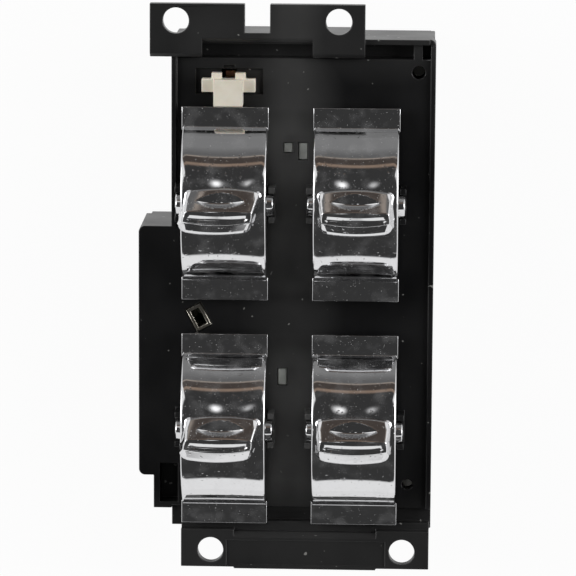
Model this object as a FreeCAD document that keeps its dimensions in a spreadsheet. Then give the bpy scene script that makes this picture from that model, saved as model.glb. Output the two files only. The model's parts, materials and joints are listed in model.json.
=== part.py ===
import FreeCAD, Part
import math
import os
import re
import Sketcher

# Power window switch module: a flat black moulding with screw lugs at both ends,
# four plated rocker keys, a lockout slide, and the contacts, board and
# connector that work behind them.
# Units are millimetres. Seen from the front, X points right, Y points up along the
# module and Z points out of the front. The origin is the middle of the back face.

os.makedirs("parts", exist_ok=True)
doc = FreeCAD.newDocument("power_window_switch")

# Driving dimensions. Places are distances from the origin, in the direction
# that the note says.
SIZES = [
    # front outline of the two mouldings
    ("left_room", 1.0, "left keys to the left side wall, at their hinges"),
    ("right_room", 6.25, "right keys to the right side wall, at their hinges"),
    ("wing_width", 7.45, "side wing beyond the left side wall"),
    ("upper_room", 15.05, "upper keys to the upper end wall"),
    ("lower_room", 1.65, "lower keys to the lower end wall"),
    ("wing_top", 13.85, "upper end of the wing"),
    ("wing_bottom", 43.5, "lower end of the wing"),
    ("step_width", 4.1, "pocket wall under the wing, beyond the left side wall"),
    ("step_length", 7.6, "pocket wall below the wing"),
    ("band_width", 4.7, "lower end band, up to the raised floor"),
    # depths
    ("case_depth", 21.0, "back face to the seam between the two mouldings"),
    ("skirt_depth", 6.0, "seam to the floor that the keys stand over"),
    ("floor_thick", 2.0, "floor of the front housing"),
    ("skirt_wall", 1.6, "side walls of the front housing"),
    ("rim_height", 1.0, "rim above the floor"),
    ("rim_wall", 1.15, "thickness of that rim"),
    ("corner_round", 1.4, "rounding of the upright corners"),
    ("band_drop", 1.0, "lower end band below the floor"),
    ("trench_width", 3.3, "groove inside the upper rim"),
    ("trench_depth", 4.0, "its depth below the floor"),
    ("trench_land", 0.8, "wall between groove and inside"),
    ("rib_set", 3.95, "middle of the rib across the groove, to the right side wall"),
    ("rib_width", 2.0, "that rib"),
    # pocket under the wing
    ("pocket_wall", 1.4, "wall to the left of the pocket"),
    ("pocket_width", 4.1, "pocket"),
    ("pocket_rise", 2.8, "upper face of the pocket above the lower end of the wing"),
    ("pocket_floor", 1.2, "floor of the pocket above the seam"),
    # lugs
    ("upper_lug_reach", 7.85, "upper lugs beyond the end wall"),
    ("lower_lug_reach", 9.15, "lower lugs beyond the end wall"),
    ("lug_rise", 3.0, "front face of the lugs above the floor"),
    ("lug_thick", 2.5, "lug plates"),
    ("lug_hole", 5.8, "screw holes"),
    ("upper_hole_reach", 4.08, "upper screw holes beyond the end wall"),
    ("upper_hole_mid", 6.5, "middle of the upper pair, to the left"),
    ("upper_hole_pitch", 36.2, "upper pair"),
    ("upper_lug_width", 47.8, "upper lug plate"),
    ("upper_ear_width", 11.6, "ear around each upper hole"),
    ("upper_ear_lap", 4.1, "upper ears over the tray"),
    ("upper_bar_lap", 0.65, "plate between the upper ears over the tray"),
    ("upper_chamfer", 0.9, "bevel on the lower edges of the upper lugs"),
    ("notch_width", 5.6, "notch in the upper plate"),
    ("notch_depth", 6.4, "notch in the upper plate, from its edge"),
    ("lower_hole_reach", 4.84, "lower screw holes beyond the end wall"),
    ("lower_hole_mid", 5.0, "middle of the lower pair, to the right"),
    ("lower_hole_pitch", 43.4, "lower pair"),
    ("lower_lug_left_set", 2.3, "lower lug plate short of the left side wall"),
    ("lower_lug_right_set", 0.35, "lower lug plate short of the right side wall"),
    ("lower_ear_width", 12.0, "ear around each lower hole"),
    ("lower_ear_set_back", 0.37, "ears short of the plate between them"),
    ("lower_bar_set_back", 0.6, "upper edge of the plate below the ears"),
    ("lower_chamfer", 1.1, "bevel on the upper edge of the lower plate"),
    ("panel_left", 13.1, "left side of the sunk panel"),
    ("panel_right", 22.9, "right side of the sunk panel"),
    ("panel_length", 5.8, "sunk panel"),
    ("panel_edge", 0.85, "sunk panel to the edge of the lower plate"),
    ("panel_sink", 0.4, "depth of that panel"),
    # keys
    ("key_pitch_x", 29.3, "keys side by side"),
    ("key_mid_x", 1.1, "middle of the pair, to the right"),
    ("key_rows_mid", 6.05, "middle between the two rows of keys, downwards"),
    ("key_end_gap", 7.8, "upper keys to lower keys, end to end"),
    ("pivot_rise", 4.6, "hinge line above the floor"),
    ("key_length", 43.6, "over both end flanges"),
    ("flange_lap", 0.225, "end flanges wider than the arched body, each side"),
    ("flange_drop", 1.0, "flange face below the hinge line"),
    ("flange_thick", 1.2, "end flanges"),
    ("arch_width", 18.9, "arched body"),
    ("arch_radius", 20.0, "arched body"),
    ("arch_rise", 8.9, "top of the arch above the flange face"),
    ("key_wall", 1.3, "wall of the hollow arch"),
    ("foot_round", 1.6, "hollow rounding where arch meets flange"),
    ("pin_diameter", 5.2, "hinge pins"),
    ("pin_reach", 1.5, "pins beyond the arched body"),
    ("pin_clearance", 0.06, "round the pins, on the radius"),
    ("pull_back", 4.6, "back edge of the finger pull, from the hinge line"),
    ("pull_step", 0.3, "back edge of the pull below the arch top"),
    ("pull_front", 5.5, "lip of the pull, from the hinge line"),
    ("pull_height", 13.0, "ridge of the pull above the hinge line"),
    ("lip_fall", 2.6, "top of the lip below the ridge"),
    ("lip_thick", 1.7, "lip"),
    ("lip_round", 0.5, "upper and lower edge of the lip"),
    ("scoop_place", 1.67, "deepest line of the scoop behind the lip, from the hinge line"),
    ("scoop_fall", 1.67, "deepest line of the scoop below the ridge, before rounding"),
    ("scoop_round", 1.3, "rounding of the scoop"),
    ("step_place", 2.65, "front edge of the scoop, from the hinge line"),
    ("step_fall", 1.1, "front edge of the scoop below the ridge"),
    ("step_run", 0.2, "small step below that edge, along"),
    ("step_drop", 0.25, "small step below that edge, down"),
    ("undercut_depth", 3.1, "finger space behind the lip"),
    ("undercut_slope", 0.3, "finger space, rise from the lip inwards"),
    ("pull_inset", 0.85, "pull to the side of the arched body, where it leaves it"),
    ("pull_top_width", 14.6, "pull along the ridge"),
    ("pull_flare_end", 0.6, "lean of the pull sides, start below the arch top"),
    ("pull_round", 1.8, "corners of the pull seen from the front"),
    ("ridge_round", 0.7, "ridge of the pull"),
    ("dish_length", 10.4, "thumb dish across the key"),
    ("dish_width", 3.4, "thumb dish up the slope"),
    ("dish_depth", 0.5, "thumb dish"),
    ("dish_place", 2.3, "middle of the dish behind the hinge line"),
    ("stem_width", 5.0, "stem under the key, across"),
    ("stem_length", 6.0, "stem under the key, along"),
    ("bore_diameter", 2.5, "plunger bore in the stem"),
    ("bore_depth", 8.0, "plunger bore in the stem"),
    ("well_side_gap", 1.0, "floor opening beside the stem"),
    ("well_end_gap", 2.0, "floor opening before and behind the stem"),
    ("saddle_gap", 0.3, "key side to hinge saddle"),
    ("saddle_wall", 1.4, "saddle in front of and behind the pin"),
    ("saddle_wrap", 0.5, "saddle above the hinge line"),
    ("saddle_cover", 0.2, "saddle beyond the pin ends"),
    # plungers, springs and rocking contacts
    ("plunger_clearance", 0.1, "plunger in its bore, on the radius"),
    ("plunger_length", 5.0, "plunger"),
    ("plunger_show", 2.4, "plunger beyond the end of the stem"),
    ("tip_gap", 0.05, "plunger tip above the rocking contact"),
    ("spring_wire", 0.3, "return spring wire"),
    ("spring_coil", 1.5, "return spring, middle of the wire"),
    ("spring_pitch", 0.95, "return spring"),
    ("spring_end_gap", 0.05, "spring to bore end and plunger"),
    ("rocker_width", 5.4, "rocking contact, across"),
    ("rocker_length", 14.4, "rocking contact, along"),
    ("rocker_thick", 0.5, "rocking contact"),
    ("button_diameter", 2.2, "contact buttons"),
    ("button_height", 0.5, "moving contact buttons"),
    ("button_place", 6.0, "contact buttons from the hinge line"),
    ("fixed_height", 0.6, "fixed contact buttons above the board"),
    ("fulcrum_height", 2.0, "fulcrum above the board"),
    ("fulcrum_thick", 1.2, "fulcrum, along"),
    ("fulcrum_width", 4.4, "fulcrum, across"),
    ("seat_gap", 0.05, "rocking contact on its fulcrum"),
    # board, frame and connector
    ("wall", 1.6, "side walls of the rear case"),
    ("back_thick", 2.0, "back wall of the rear case"),
    ("case_inset", 0.3, "rear case inside the skirt outline"),
    ("foot_inset", 0.8, "lowest part of the rear case, further in"),
    ("foot_height", 7.5, "height of that part"),
    ("board_height", 13.6, "underside of the board above the back face"),
    ("board_thick", 1.6, "circuit board"),
    ("board_gap", 0.4, "board to the case walls"),
    ("rest_width", 2.0, "ledges that carry the board"),
    ("frame_gap", 0.3, "contact frame above the board"),
    ("frame_thick", 1.5, "contact frame"),
    ("frame_margin", 1.6, "contact frame inside the board outline"),
    ("frame_foot_set", 6.6, "lower foot of the contact frame to the lower end wall"),
    ("window_width", 8.4, "frame window at each key, across"),
    ("window_length", 17.6, "frame window at each key, along"),
    ("upper_peg_side", 3.8, "upper locating peg to the right side wall"),
    ("upper_peg_set", 7.4, "upper locating peg to the upper end wall"),
    ("upper_peg_hole", 2.9, "hole over the upper peg"),
    ("upper_peg_sink", 4.6, "peg end below the floor"),
    ("lower_peg_side", 5.4, "lower locating peg to the right side wall"),
    ("lower_peg_set", 10.3, "lower locating peg to the lower end wall"),
    ("lower_peg_hole", 2.4, "hole over the lower peg"),
    ("lower_peg_sink", 2.8, "peg end below the floor"),
    ("peg_clearance", 0.1, "pegs in their holes, on the radius"),
    ("socket_set", 7.25, "middle of the connector socket to the outer face of the wing"),
    ("socket_mid_y", 15.0, "connector socket, downwards"),
    ("socket_width", 9.6, "connector socket, across"),
    ("socket_length", 36.0, "connector socket, along"),
    ("shroud_gap", 1.3, "wall over the socket to the board"),
    ("socket_wall", 1.3, "wall round the socket"),
    ("key_slot_width", 2.2, "coding grooves in the socket wall"),
    ("key_slot_depth", 0.7, "coding grooves in the socket wall"),
    ("key_slot_end", 2.0, "coding grooves short of the socket floor"),
    ("header_width", 7.0, "pin header, across"),
    ("header_length", 31.0, "pin header, along"),
    ("header_reach", 0.8, "pin header into the socket"),
    ("header_clearance", 0.1, "pin header in its seat"),
    ("blade_count", 7, "blades in each of two rows"),
    ("blade_pitch", 4.2, "blades along a row"),
    ("row_pitch", 4.0, "two rows of blades"),
    ("blade_width", 1.5, "blades"),
    ("blade_thick", 0.64, "blades"),
    ("blade_recess", 5.4, "blade ends inside the socket mouth"),
    ("shoulder_gap", 0.8, "blade shoulders below the top of the pin header"),
    ("tail_width", 0.8, "blade tails through the board"),
    ("tail_stand", 0.9, "tails beyond the board"),
    ("tail_hole", 1.3, "holes in the board"),
    # lockout slide
    ("slide_set", 0.65, "middle of the lockout slide to the right of the left keys' middle"),
    ("slide_bar_width", 12.0, "cross bar"),
    ("slide_key_gap", 0.15, "lockout slide to the key below it"),
    ("slide_bar_length", 3.0, "cross bar, along"),
    ("slide_bar_thick", 2.2, "cross bar"),
    ("slide_grip_width", 6.5, "grip block"),
    ("slide_grip_reach", 3.0, "grip block below the cross bar"),
    ("slide_grip_height", 4.4, "grip block above the floor"),
    ("slide_ear_width", 2.3, "ears on the cross bar"),
    ("slide_ear_pitch", 5.3, "ears on the cross bar"),
    ("slide_ear_reach", 1.3, "ears beyond the cross bar"),
    ("slide_lift", 0.15, "slide above the floor"),
    ("slide_leg_width", 3.0, "leg through the floor, across"),
    ("slide_leg_length", 2.4, "leg through the floor, along"),
    ("slide_leg_end", 6.6, "leg below the floor"),
    ("slide_travel", 2.2, "travel of the slide, upwards"),
    ("slot_gap", 0.25, "leg in its slot"),
    ("track_left", 20.3, "sunk track, left side"),
    ("track_right", 5.3, "sunk track, right side"),
    ("track_margin", 0.7, "sunk track below the cross bar"),
    ("track_room", 2.0, "sunk track beyond the cross bar"),
    ("track_depth", 0.8, "sunk track"),
    ("tab_width", 2.5, "stop tab above the track"),
    ("tab_reach", 0.8, "stop tab beyond the track"),
    ("wiper_width", 2.2, "wiper under the leg"),
    ("wiper_length", 5.0, "wiper under the leg"),
    ("wiper_thick", 0.4, "wiper under the leg"),
    ("wiper_gap", 0.4, "frame opening round the wiper"),
    # lights
    ("light_gap", 0.15, "light pipes in their windows"),
    ("light_sink", 0.5, "light pipes below the floor"),
    ("small_light_width", 1.9, "left upper window and lower window"),
    ("small_light_length", 2.1, "left upper window"),
    ("tall_light_length", 3.7, "right upper window and lower window"),
    ("upper_light_x", 2.05, "middle of the upper pair, to the right"),
    ("upper_light_pitch", 3.3, "upper pair"),
    ("upper_light_top", 33.0, "upper end of the upper pair"),
    ("lower_light_x", 0.65, "lower window, to the left"),
    ("lower_light_top", 18.5, "upper end of the lower window, downwards"),
    ("pipe_stand", 2.2, "light pipes above the lamps"),
    ("pipe_yoke", 1.6, "yoke that joins the upper prongs"),
    ("pipe_flange", 0.6, "collars of the light pipes beyond their prongs"),
    ("lamp_set", 6.15, "tilted lamp sleeve to the left side wall"),
    ("lamp_y", 6.85, "tilted lamp sleeve, downwards"),
    ("lamp_width", 3.6, "lamp sleeve"),
    ("lamp_length", 5.5, "lamp sleeve"),
    ("lamp_wall", 0.7, "lamp sleeve"),
    ("lamp_angle", 28.0, "lamp sleeve, turned"),
    ("sleeve_stand", 2.8, "lamp sleeve above the board"),
    ("lamp_stand", 0.4, "lamp sleeve above the floor"),
    ("led_size", 2.0, "lamps on the board"),
    ("led_height", 1.2, "lamps on the board"),
    # case screws
    ("screw_right_set", 4.95, "right screws to the right side wall"),
    ("screw_left_set", 4.9, "left screws to the left side wall"),
    ("screw_upper_set", 12.5, "upper screws to the upper end wall"),
    ("screw_lower_set", 5.0, "lower screws to the lower end wall"),
    ("screw_diameter", 2.6, "screw shank"),
    ("screw_head", 4.8, "screw head"),
    ("screw_head_height", 1.6, "screw head"),
    ("screw_sink", 0.4, "head below the back face"),
    ("screw_bite", 4.5, "shank in the front boss"),
    ("screw_end_gap", 0.1, "screw tip to the end of its bore"),
    ("boss_wall", 1.2, "bosses round the screws"),
    ("screw_clearance", 0.2, "screws in the rear boss, on the radius"),
    ("boss_gap", 0.2, "bosses to the board"),
    # small amounts used all over
    ("over_cut", 1.0, "how far a cutting block runs past the face it opens"),
    ("lap", 0.5, "how far a block runs into the one it is joined to"),
]

# Places that follow from those sizes, from the middle keys outwards.
PLACES = [
    ("key_width", "arch_width + 2 * flange_lap", "end flanges"),
    ("pull_base_width", "arch_width - 2 * pull_inset", "pull where it leaves the arch"),
    ("lip_height", "pull_height - lip_fall", "top of the lip above the hinge line"),
    ("scoop_height", "pull_height - scoop_fall", "deepest line of the scoop above the hinge line"),
    ("step_height", "pull_height - step_fall", "front edge of the scoop above the hinge line"),
    ("key_half_span", "(key_pitch_x + arch_width) / 2 + pin_reach + saddle_cover",
     "middle of the pair to the outer hinge saddles"),
    ("tray_left", "key_half_span - key_mid_x + left_room", "left side wall above the wing"),
    ("right_edge", "key_half_span + key_mid_x + right_room", "right side wall"),
    ("left_edge", "tray_left + wing_width", "outer face of the side wing"),
    ("step_left", "tray_left + step_width", "outer face of the pocket wall under the wing"),
    ("rib_place", "right_edge - rib_set", "middle of the rib across the groove, to the right"),
    ("lower_lug_left", "tray_left - lower_lug_left_set", "left end of the lower lug plate"),
    ("lower_lug_right", "right_edge - lower_lug_right_set", "right end of the lower lug plate"),
    ("upper_peg_x", "right_edge - upper_peg_side", "upper locating peg, to the right"),
    ("lower_peg_x", "right_edge - lower_peg_side", "lower locating peg, to the right"),
    ("socket_mid_x", "left_edge - socket_set", "connector socket, to the left"),
    ("slide_mid_x", "key_pitch_x / 2 - key_mid_x - slide_set", "lockout slide, to the left"),
    ("lamp_x", "tray_left - lamp_set", "tilted lamp sleeve, to the left"),
    ("screw_x", "right_edge - screw_right_set", "right screws"),
    ("screw_left_x", "tray_left - screw_left_set", "left screws, to the left"),
    ("pocket_left", "step_left - pocket_wall", "left face of the pocket"),
    ("pocket_right", "pocket_left - pocket_width", "right face of the pocket"),
    ("socket_depth", "board_height - shroud_gap - socket_wall", "connector socket"),
    ("stem_reach", "case_depth + skirt_depth + pivot_rise - board_height - board_thick"
     " - fulcrum_height - seat_gap - rocker_thick - tip_gap - plunger_show",
     "lower end of the stem below the hinge line"),
    ("key_row_upper", "(key_length + key_end_gap) / 2 - key_rows_mid", "hinge line, upper keys"),
    ("key_row_lower", "(key_length + key_end_gap) / 2 + key_rows_mid", "lower keys, downwards"),
    ("tray_top", "key_row_upper + key_length / 2 + upper_room", "upper end wall"),
    ("tray_bottom", "key_row_lower + key_length / 2 + lower_room", "lower end wall"),
    ("step_bottom", "wing_bottom + step_length", "lower end of the pocket wall"),
    ("pocket_top", "wing_bottom - pocket_rise", "upper face of the pocket, downwards"),
    ("plateau_bottom", "tray_bottom - band_width", "lower end of the raised floor"),
    ("lug_top", "tray_top + upper_lug_reach", "outer edge of the upper lugs"),
    ("lug_bottom", "tray_bottom + lower_lug_reach", "outer edge of the lower lug plate"),
    ("upper_hole_row", "tray_top + upper_hole_reach", "upper screw holes"),
    ("lower_hole_row", "tray_bottom + lower_hole_reach", "lower screw holes, downwards"),
    ("upper_ear_bottom", "tray_top - upper_ear_lap", "lower end of the upper ears"),
    ("upper_bar_bottom", "tray_top - upper_bar_lap", "lower edge of the plate between them"),
    ("notch_bottom", "lug_top - notch_depth", "lower end of the notch"),
    ("panel_bottom", "lug_bottom - panel_edge", "lower side of the sunk panel, downwards"),
    ("panel_top", "panel_bottom - panel_length", "upper side of the sunk panel, downwards"),
    ("upper_peg_y", "tray_top - upper_peg_set", "upper locating peg"),
    ("lower_peg_y", "tray_bottom - lower_peg_set", "lower locating peg, downwards"),
    ("screw_upper_y", "tray_top - screw_upper_set", "upper screws"),
    ("screw_lower_y", "tray_bottom - screw_lower_set", "lower screws, downwards"),
    ("slide_grip_low", "key_row_upper + key_length / 2 + slide_key_gap", "lower end of the grip"),
    ("slide_bar_low", "slide_grip_low + slide_grip_reach", "lower edge of the cross bar"),
    ("slide_bar_high", "slide_bar_low + slide_bar_length", "upper edge of the cross bar"),
    ("slide_ear_high", "slide_bar_high + slide_ear_reach", "upper end of the ears"),
    ("track_low", "slide_bar_low - track_margin", "lower side of the sunk track"),
    ("track_high", "slide_bar_high + track_room", "upper side of the sunk track"),
    ("tab_high", "track_high + tab_reach", "upper end of the stop tab"),
]

sheet = doc.addObject("Spreadsheet::Sheet", "Sizes")
for row, (alias, value, note) in enumerate(SIZES + PLACES, start=1):
    sheet.set("A%d" % row, "=" + value if isinstance(value, str) else str(value))
    sheet.setAlias("A%d" % row, alias)
    sheet.set("B%d" % row, note)
doc.recompute()

ALIASES = {alias for alias, value, note in SIZES + PLACES}
WORD = re.compile(r"[a-z][a-z_]*")


def qualify(text):
    """Point every size name in an expression at the sheet."""
    return WORD.sub(lambda m: "Sizes." + m.group(0) if m.group(0) in ALIASES else m.group(0), text)


def size(alias):
    """Read one driving dimension."""
    return float(sheet.get(alias))


def tie(target, **fields):
    """Bind properties of an object to expressions in the sheet's names."""
    for field, text in fields.items():
        target.setExpression(field.replace("__", "."), qualify(text))
    return target


def place(target, x="0", y="0", z="0"):
    """Bind the place of an object."""
    return tie(target, Placement__Base__x=x, Placement__Base__y=y, Placement__Base__z=z)


def box(name, left, right, low, high, bottom, top):
    """A block between six faces, each given as an expression."""
    block = doc.addObject("Part::Box", name)
    tie(block, Length="(%s) - (%s)" % (right, left))
    tie(block, Width="(%s) - (%s)" % (high, low))
    tie(block, Height="(%s) - (%s)" % (top, bottom))
    return place(block, left, low, bottom)


def rod(name, radius, length, x, y, z, axis=(0, 0, 1)):
    """A cylinder that starts at a point and runs along an axis."""
    cylinder = doc.addObject("Part::Cylinder", name)
    tie(cylinder, Radius=radius, Height=length)
    turn = FreeCAD.Rotation(FreeCAD.Vector(0, 0, 1), FreeCAD.Vector(*axis))
    cylinder.Placement = FreeCAD.Placement(FreeCAD.Vector(), turn)
    return place(cylinder, x, y, z)


def fuse(name, pieces):
    """One solid from several that overlap or touch."""
    joined = doc.addObject("Part::MultiFuse", name)
    joined.Shapes = pieces
    joined.Refine = True
    return joined


def cut(name, base, tools):
    """A solid with several tools taken away."""
    tool = tools[0] if len(tools) == 1 else group(name + "_tools", tools)
    trimmed = doc.addObject("Part::Cut", name)
    trimmed.Base = base
    trimmed.Tool = tool
    trimmed.Refine = True
    return trimmed


def common(name, pieces):
    """What several solids share."""
    shared = doc.addObject("Part::MultiCommon", name)
    shared.Shapes = pieces
    shared.Refine = True
    return shared


def group(name, pieces):
    """Several separate solids kept as one object."""
    together = doc.addObject("Part::Compound", name)
    together.Links = pieces
    return together


def prism(name, plane, corners, start, length):
    """A closed outline of straight lines, tied to the sheet, pushed out to a solid.

    The outline lies in the plane "yz", "xz" or "xy", and each corner is a pair of
    expressions. The solid runs from start along the plane's own normal.
    """
    turns = {
        "yz": FreeCAD.Rotation(FreeCAD.Vector(1, 1, 1), 120),
        "xz": FreeCAD.Rotation(FreeCAD.Vector(1, 0, 0), 90),
        "xy": FreeCAD.Rotation(),
    }
    outline = doc.addObject("Sketcher::SketchObject", name + "_outline")
    outline.Placement = FreeCAD.Placement(FreeCAD.Vector(), turns[plane])
    if plane == "yz":
        tie(outline, Placement__Base__x=start)
    if plane == "xz":
        tie(outline, Placement__Base__y=start)
    if plane == "xy":
        tie(outline, Placement__Base__z=start)
    scratch = [(measure(across), measure(up)) for across, up in corners]
    count = len(scratch)
    for index in range(count):
        begin = FreeCAD.Vector(*scratch[index], 0)
        end = FreeCAD.Vector(*scratch[(index + 1) % count], 0)
        outline.addGeometry(Part.LineSegment(begin, end), False)
    for index in range(count):
        outline.addConstraint(Sketcher.Constraint("Coincident", index, 2, (index + 1) % count, 1))
    for index, (across, up) in enumerate(corners):
        for kind, text, value in (("DistanceX", across, scratch[index][0]),
                                  ("DistanceY", up, scratch[index][1])):
            number = outline.addConstraint(Sketcher.Constraint(kind, -1, 1, index, 1, value))
            outline.setExpression("Constraints[%d]" % number, qualify(text))
    solid = doc.addObject("Part::Extrusion", name)
    solid.Base = outline
    solid.DirMode = "Normal"
    solid.Solid = True
    return tie(solid, LengthFwd=length)


def measure(text):
    """The present value of an expression in the sheet's names."""
    probe = doc.addObject("App::FeaturePython", "probe")
    probe.addProperty("App::PropertyFloat", "Reading")
    probe.setExpression("Reading", qualify(text))
    probe.recompute()
    reading = probe.Reading
    doc.removeObject(probe.Name)
    return reading


def fillet(name, base, radius, chosen):
    """Round the edges of base for which chosen(edge) is true."""
    doc.recompute()
    rounded = doc.addObject("Part::Fillet", name)
    rounded.Base = base
    reach = size(radius)
    picks = [number for number, edge in enumerate(base.Shape.Edges, start=1) if chosen(edge)]
    rounded.Edges = [(number, reach, reach) for number in picks]
    return rounded


def runs_along(edge, axis):
    """True for a straight edge that is parallel to the axis."""
    if not isinstance(edge.Curve, Part.Line):
        return False
    return abs(abs(edge.Curve.Direction.dot(axis)) - 1) < 1e-6


X_AXIS = FreeCAD.Vector(1, 0, 0)
Y_AXIS = FreeCAD.Vector(0, 1, 0)
Z_AXIS = FreeCAD.Vector(0, 0, 1)
NEAR = 0.01

# Heights that several pieces share, above the back face.
SEAM = "case_depth"
FLOOR = "(case_depth + skirt_depth)"
CEILING = "(case_depth + skirt_depth - floor_thick)"
PIVOT = "(case_depth + skirt_depth + pivot_rise)"
BOARD_TOP = "(board_height + board_thick)"
HINGE = "(board_height + board_thick + fulcrum_height)"
PIPE_END = "(board_height + board_thick + led_height + pipe_stand)"
SLEEVE_END = "(board_height + board_thick + sleeve_stand)"

# Each key's name, its side (-1 left, 1 right) and its row.
KEYS = [
    ("rear_left", -1, "key_row_upper"),
    ("rear_right", 1, "key_row_upper"),
    ("front_left", -1, "-key_row_lower"),
    ("front_right", 1, "-key_row_lower"),
]


def key_x(side):
    """Middle of a key across the module."""
    return "(key_mid_x + %d * key_pitch_x / 2)" % side


nodes = []


def finish(node, solid):
    """Give a finished piece its own name."""
    solid.Label = node
    nodes.append((node, solid))
    return solid


# Front housing: tray, side wing and pocket wall in one moulding.

def footprint(name, inset, bottom, top):
    """The three blocks of the module's outline, set in from it, between two heights."""
    tray = box(name + "_tray", "-tray_left + %s" % inset, "right_edge - %s" % inset,
               "-tray_bottom + %s" % inset, "tray_top - %s" % inset, bottom, top)
    wing = box(name + "_wing", "-left_edge + %s" % inset, "-tray_left + %s + over_cut" % inset,
               "-wing_bottom + %s" % inset, "wing_top - %s" % inset, bottom, top)
    foot = box(name + "_step", "-step_left + %s" % inset, "-tray_left + %s + over_cut" % inset,
               "-step_bottom + %s" % inset, "-wing_bottom + %s + over_cut" % inset, bottom, top)
    return fuse(name, [tray, wing, foot])


def outer_corner(edge):
    """Upright corners at the ends of the wing and the tray."""
    if not runs_along(edge, Z_AXIS):
        return False
    middle = edge.CenterOfMass
    on_wing = abs(middle.x + size("left_edge")) < NEAR
    on_right = abs(middle.x - size("right_edge")) < NEAR and middle.y > 0
    return on_wing or on_right


def front_housing():
    shell = fillet("housing_block", footprint("housing_mass", "0", SEAM, FLOOR),
                   "corner_round", outer_corner)
    hollow = [
        box("hollow_main", "-pocket_right + 2 * skirt_wall", "right_edge - skirt_wall",
            "-tray_bottom + skirt_wall", "tray_top - skirt_wall - trench_width - trench_land",
            SEAM, CEILING),
        box("hollow_left", "-tray_left + skirt_wall", "0",
            "-pocket_top + skirt_wall", "tray_top - skirt_wall - trench_width - trench_land",
            SEAM, CEILING),
        box("hollow_wing", "-left_edge + skirt_wall", "0",
            "-pocket_top + skirt_wall", "wing_top - skirt_wall", SEAM, CEILING),
    ]
    rims = [
        box("rim_right", "right_edge - rim_wall", "right_edge",
            "-plateau_bottom", "tray_top - corner_round", CEILING, FLOOR + " + rim_height"),
        box("rim_top", "-tray_left", "right_edge - corner_round",
            "tray_top - rim_wall", "tray_top", CEILING, FLOOR + " + rim_height"),
        box("rim_left", "-tray_left", "-tray_left + rim_wall",
            "wing_top", "tray_top", CEILING, FLOOR + " + rim_height"),
    ]
    trench = box("trench", "-tray_left + rim_wall", "right_edge - rim_wall",
                 "tray_top - rim_wall - trench_width", "tray_top - rim_wall",
                 FLOOR + " - trench_depth", FLOOR + " + rim_height + over_cut")
    rib = box("trench_rib", "rib_place - rib_width / 2", "rib_place + rib_width / 2",
              "tray_top - rim_wall - trench_width", "tray_top - rim_wall",
              FLOOR + " - trench_depth", FLOOR)
    band = box("band", "-tray_left", "right_edge", "-tray_bottom", "-plateau_bottom",
               FLOOR + " - band_drop", FLOOR + " + over_cut")
    pocket = box("pocket", "-pocket_left", "-pocket_right",
                 "-step_bottom + step_left - pocket_left", "-pocket_top",
                 SEAM + " + pocket_floor", FLOOR + " + over_cut")
    floor_cuts = [band, pocket]
    bosses = []
    bores = []
    for side, row in SCREWS:
        across, along = screw_place(side, row)
        bosses.append(rod("front_boss", "screw_diameter / 2 + boss_wall",
                          "%s - (%s)" % (FLOOR + " - floor_thick / 2", BOARD_TOP + " + boss_gap"),
                          across, along, BOARD_TOP + " + boss_gap"))
        bores.append(rod("front_boss_bore", "screw_diameter / 2", "screw_bite + lap",
                         across, along, BOARD_TOP + " + boss_gap"))
    wells = []
    saddles = []
    seats = []
    for name, side, row in KEYS:
        middle = key_x(side)
        wells.append(box("well", middle + " - stem_width / 2 - well_side_gap",
                         middle + " + stem_width / 2 + well_side_gap",
                         row + " - stem_length / 2 - well_end_gap",
                         row + " + stem_length / 2 + well_end_gap",
                         CEILING + " - over_cut", FLOOR + " + over_cut"))
        for hand in (-1, 1):
            inner = "arch_width / 2 + saddle_gap"
            outer = "arch_width / 2 + pin_reach + saddle_cover"
            near, far = (inner, outer) if hand > 0 else ("-(%s)" % outer, "-(%s)" % inner)
            half = "pin_diameter / 2 + saddle_wall"
            saddles.append(box("saddle", "%s + %s" % (middle, near), "%s + %s" % (middle, far),
                               "%s - (%s)" % (row, half), "%s + %s" % (row, half),
                               CEILING, PIVOT + " + saddle_wrap"))
        seats.append(rod("pin_seat", "pin_diameter / 2 + pin_clearance",
                         "arch_width + 2 * pin_reach + 2 * over_cut",
                         middle + " - arch_width / 2 - pin_reach - over_cut", row, PIVOT, (1, 0, 0)))
    windows = [
        light_window("upper_left"), light_window("upper_right"), light_window("lower"),
        lamp_block("lamp_window", "light_gap", CEILING + " - over_cut", FLOOR + " + over_cut"),
        rod("upper_peg_hole", "upper_peg_hole / 2", "floor_thick + 2 * over_cut",
            "upper_peg_x", "upper_peg_y", CEILING + " - over_cut"),
        rod("lower_peg_hole", "lower_peg_hole / 2", "floor_thick + 2 * over_cut",
            "lower_peg_x", "-lower_peg_y", CEILING + " - over_cut"),
    ]
    track = [
        box("track", "-track_left", "-track_right", "track_low", "track_high",
            FLOOR + " - track_depth", FLOOR + " + over_cut"),
        box("track_tab", "-slide_mid_x - tab_width / 2", "-slide_mid_x + tab_width / 2",
            "track_high - over_cut", "tab_high", FLOOR + " - track_depth", FLOOR + " + over_cut"),
        box("leg_slot", "-slide_mid_x - slide_leg_width / 2 - slot_gap",
            "-slide_mid_x + slide_leg_width / 2 + slot_gap",
            "slide_bar_low - slot_gap", "slide_bar_low + slide_leg_length + slide_travel + slot_gap",
            CEILING + " - over_cut", FLOOR + " + over_cut"),
    ]
    body = cut("housing_shell", shell, hollow + floor_cuts)
    walled = fuse("housing_walled", [body] + rims + bosses + saddles)
    opened = cut("housing_opened", walled,
                 [trench] + wells + seats + windows + track + bores)
    return finish("front_housing", fuse("housing", [opened, rib, upper_lugs(), lower_lugs()]))


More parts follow.
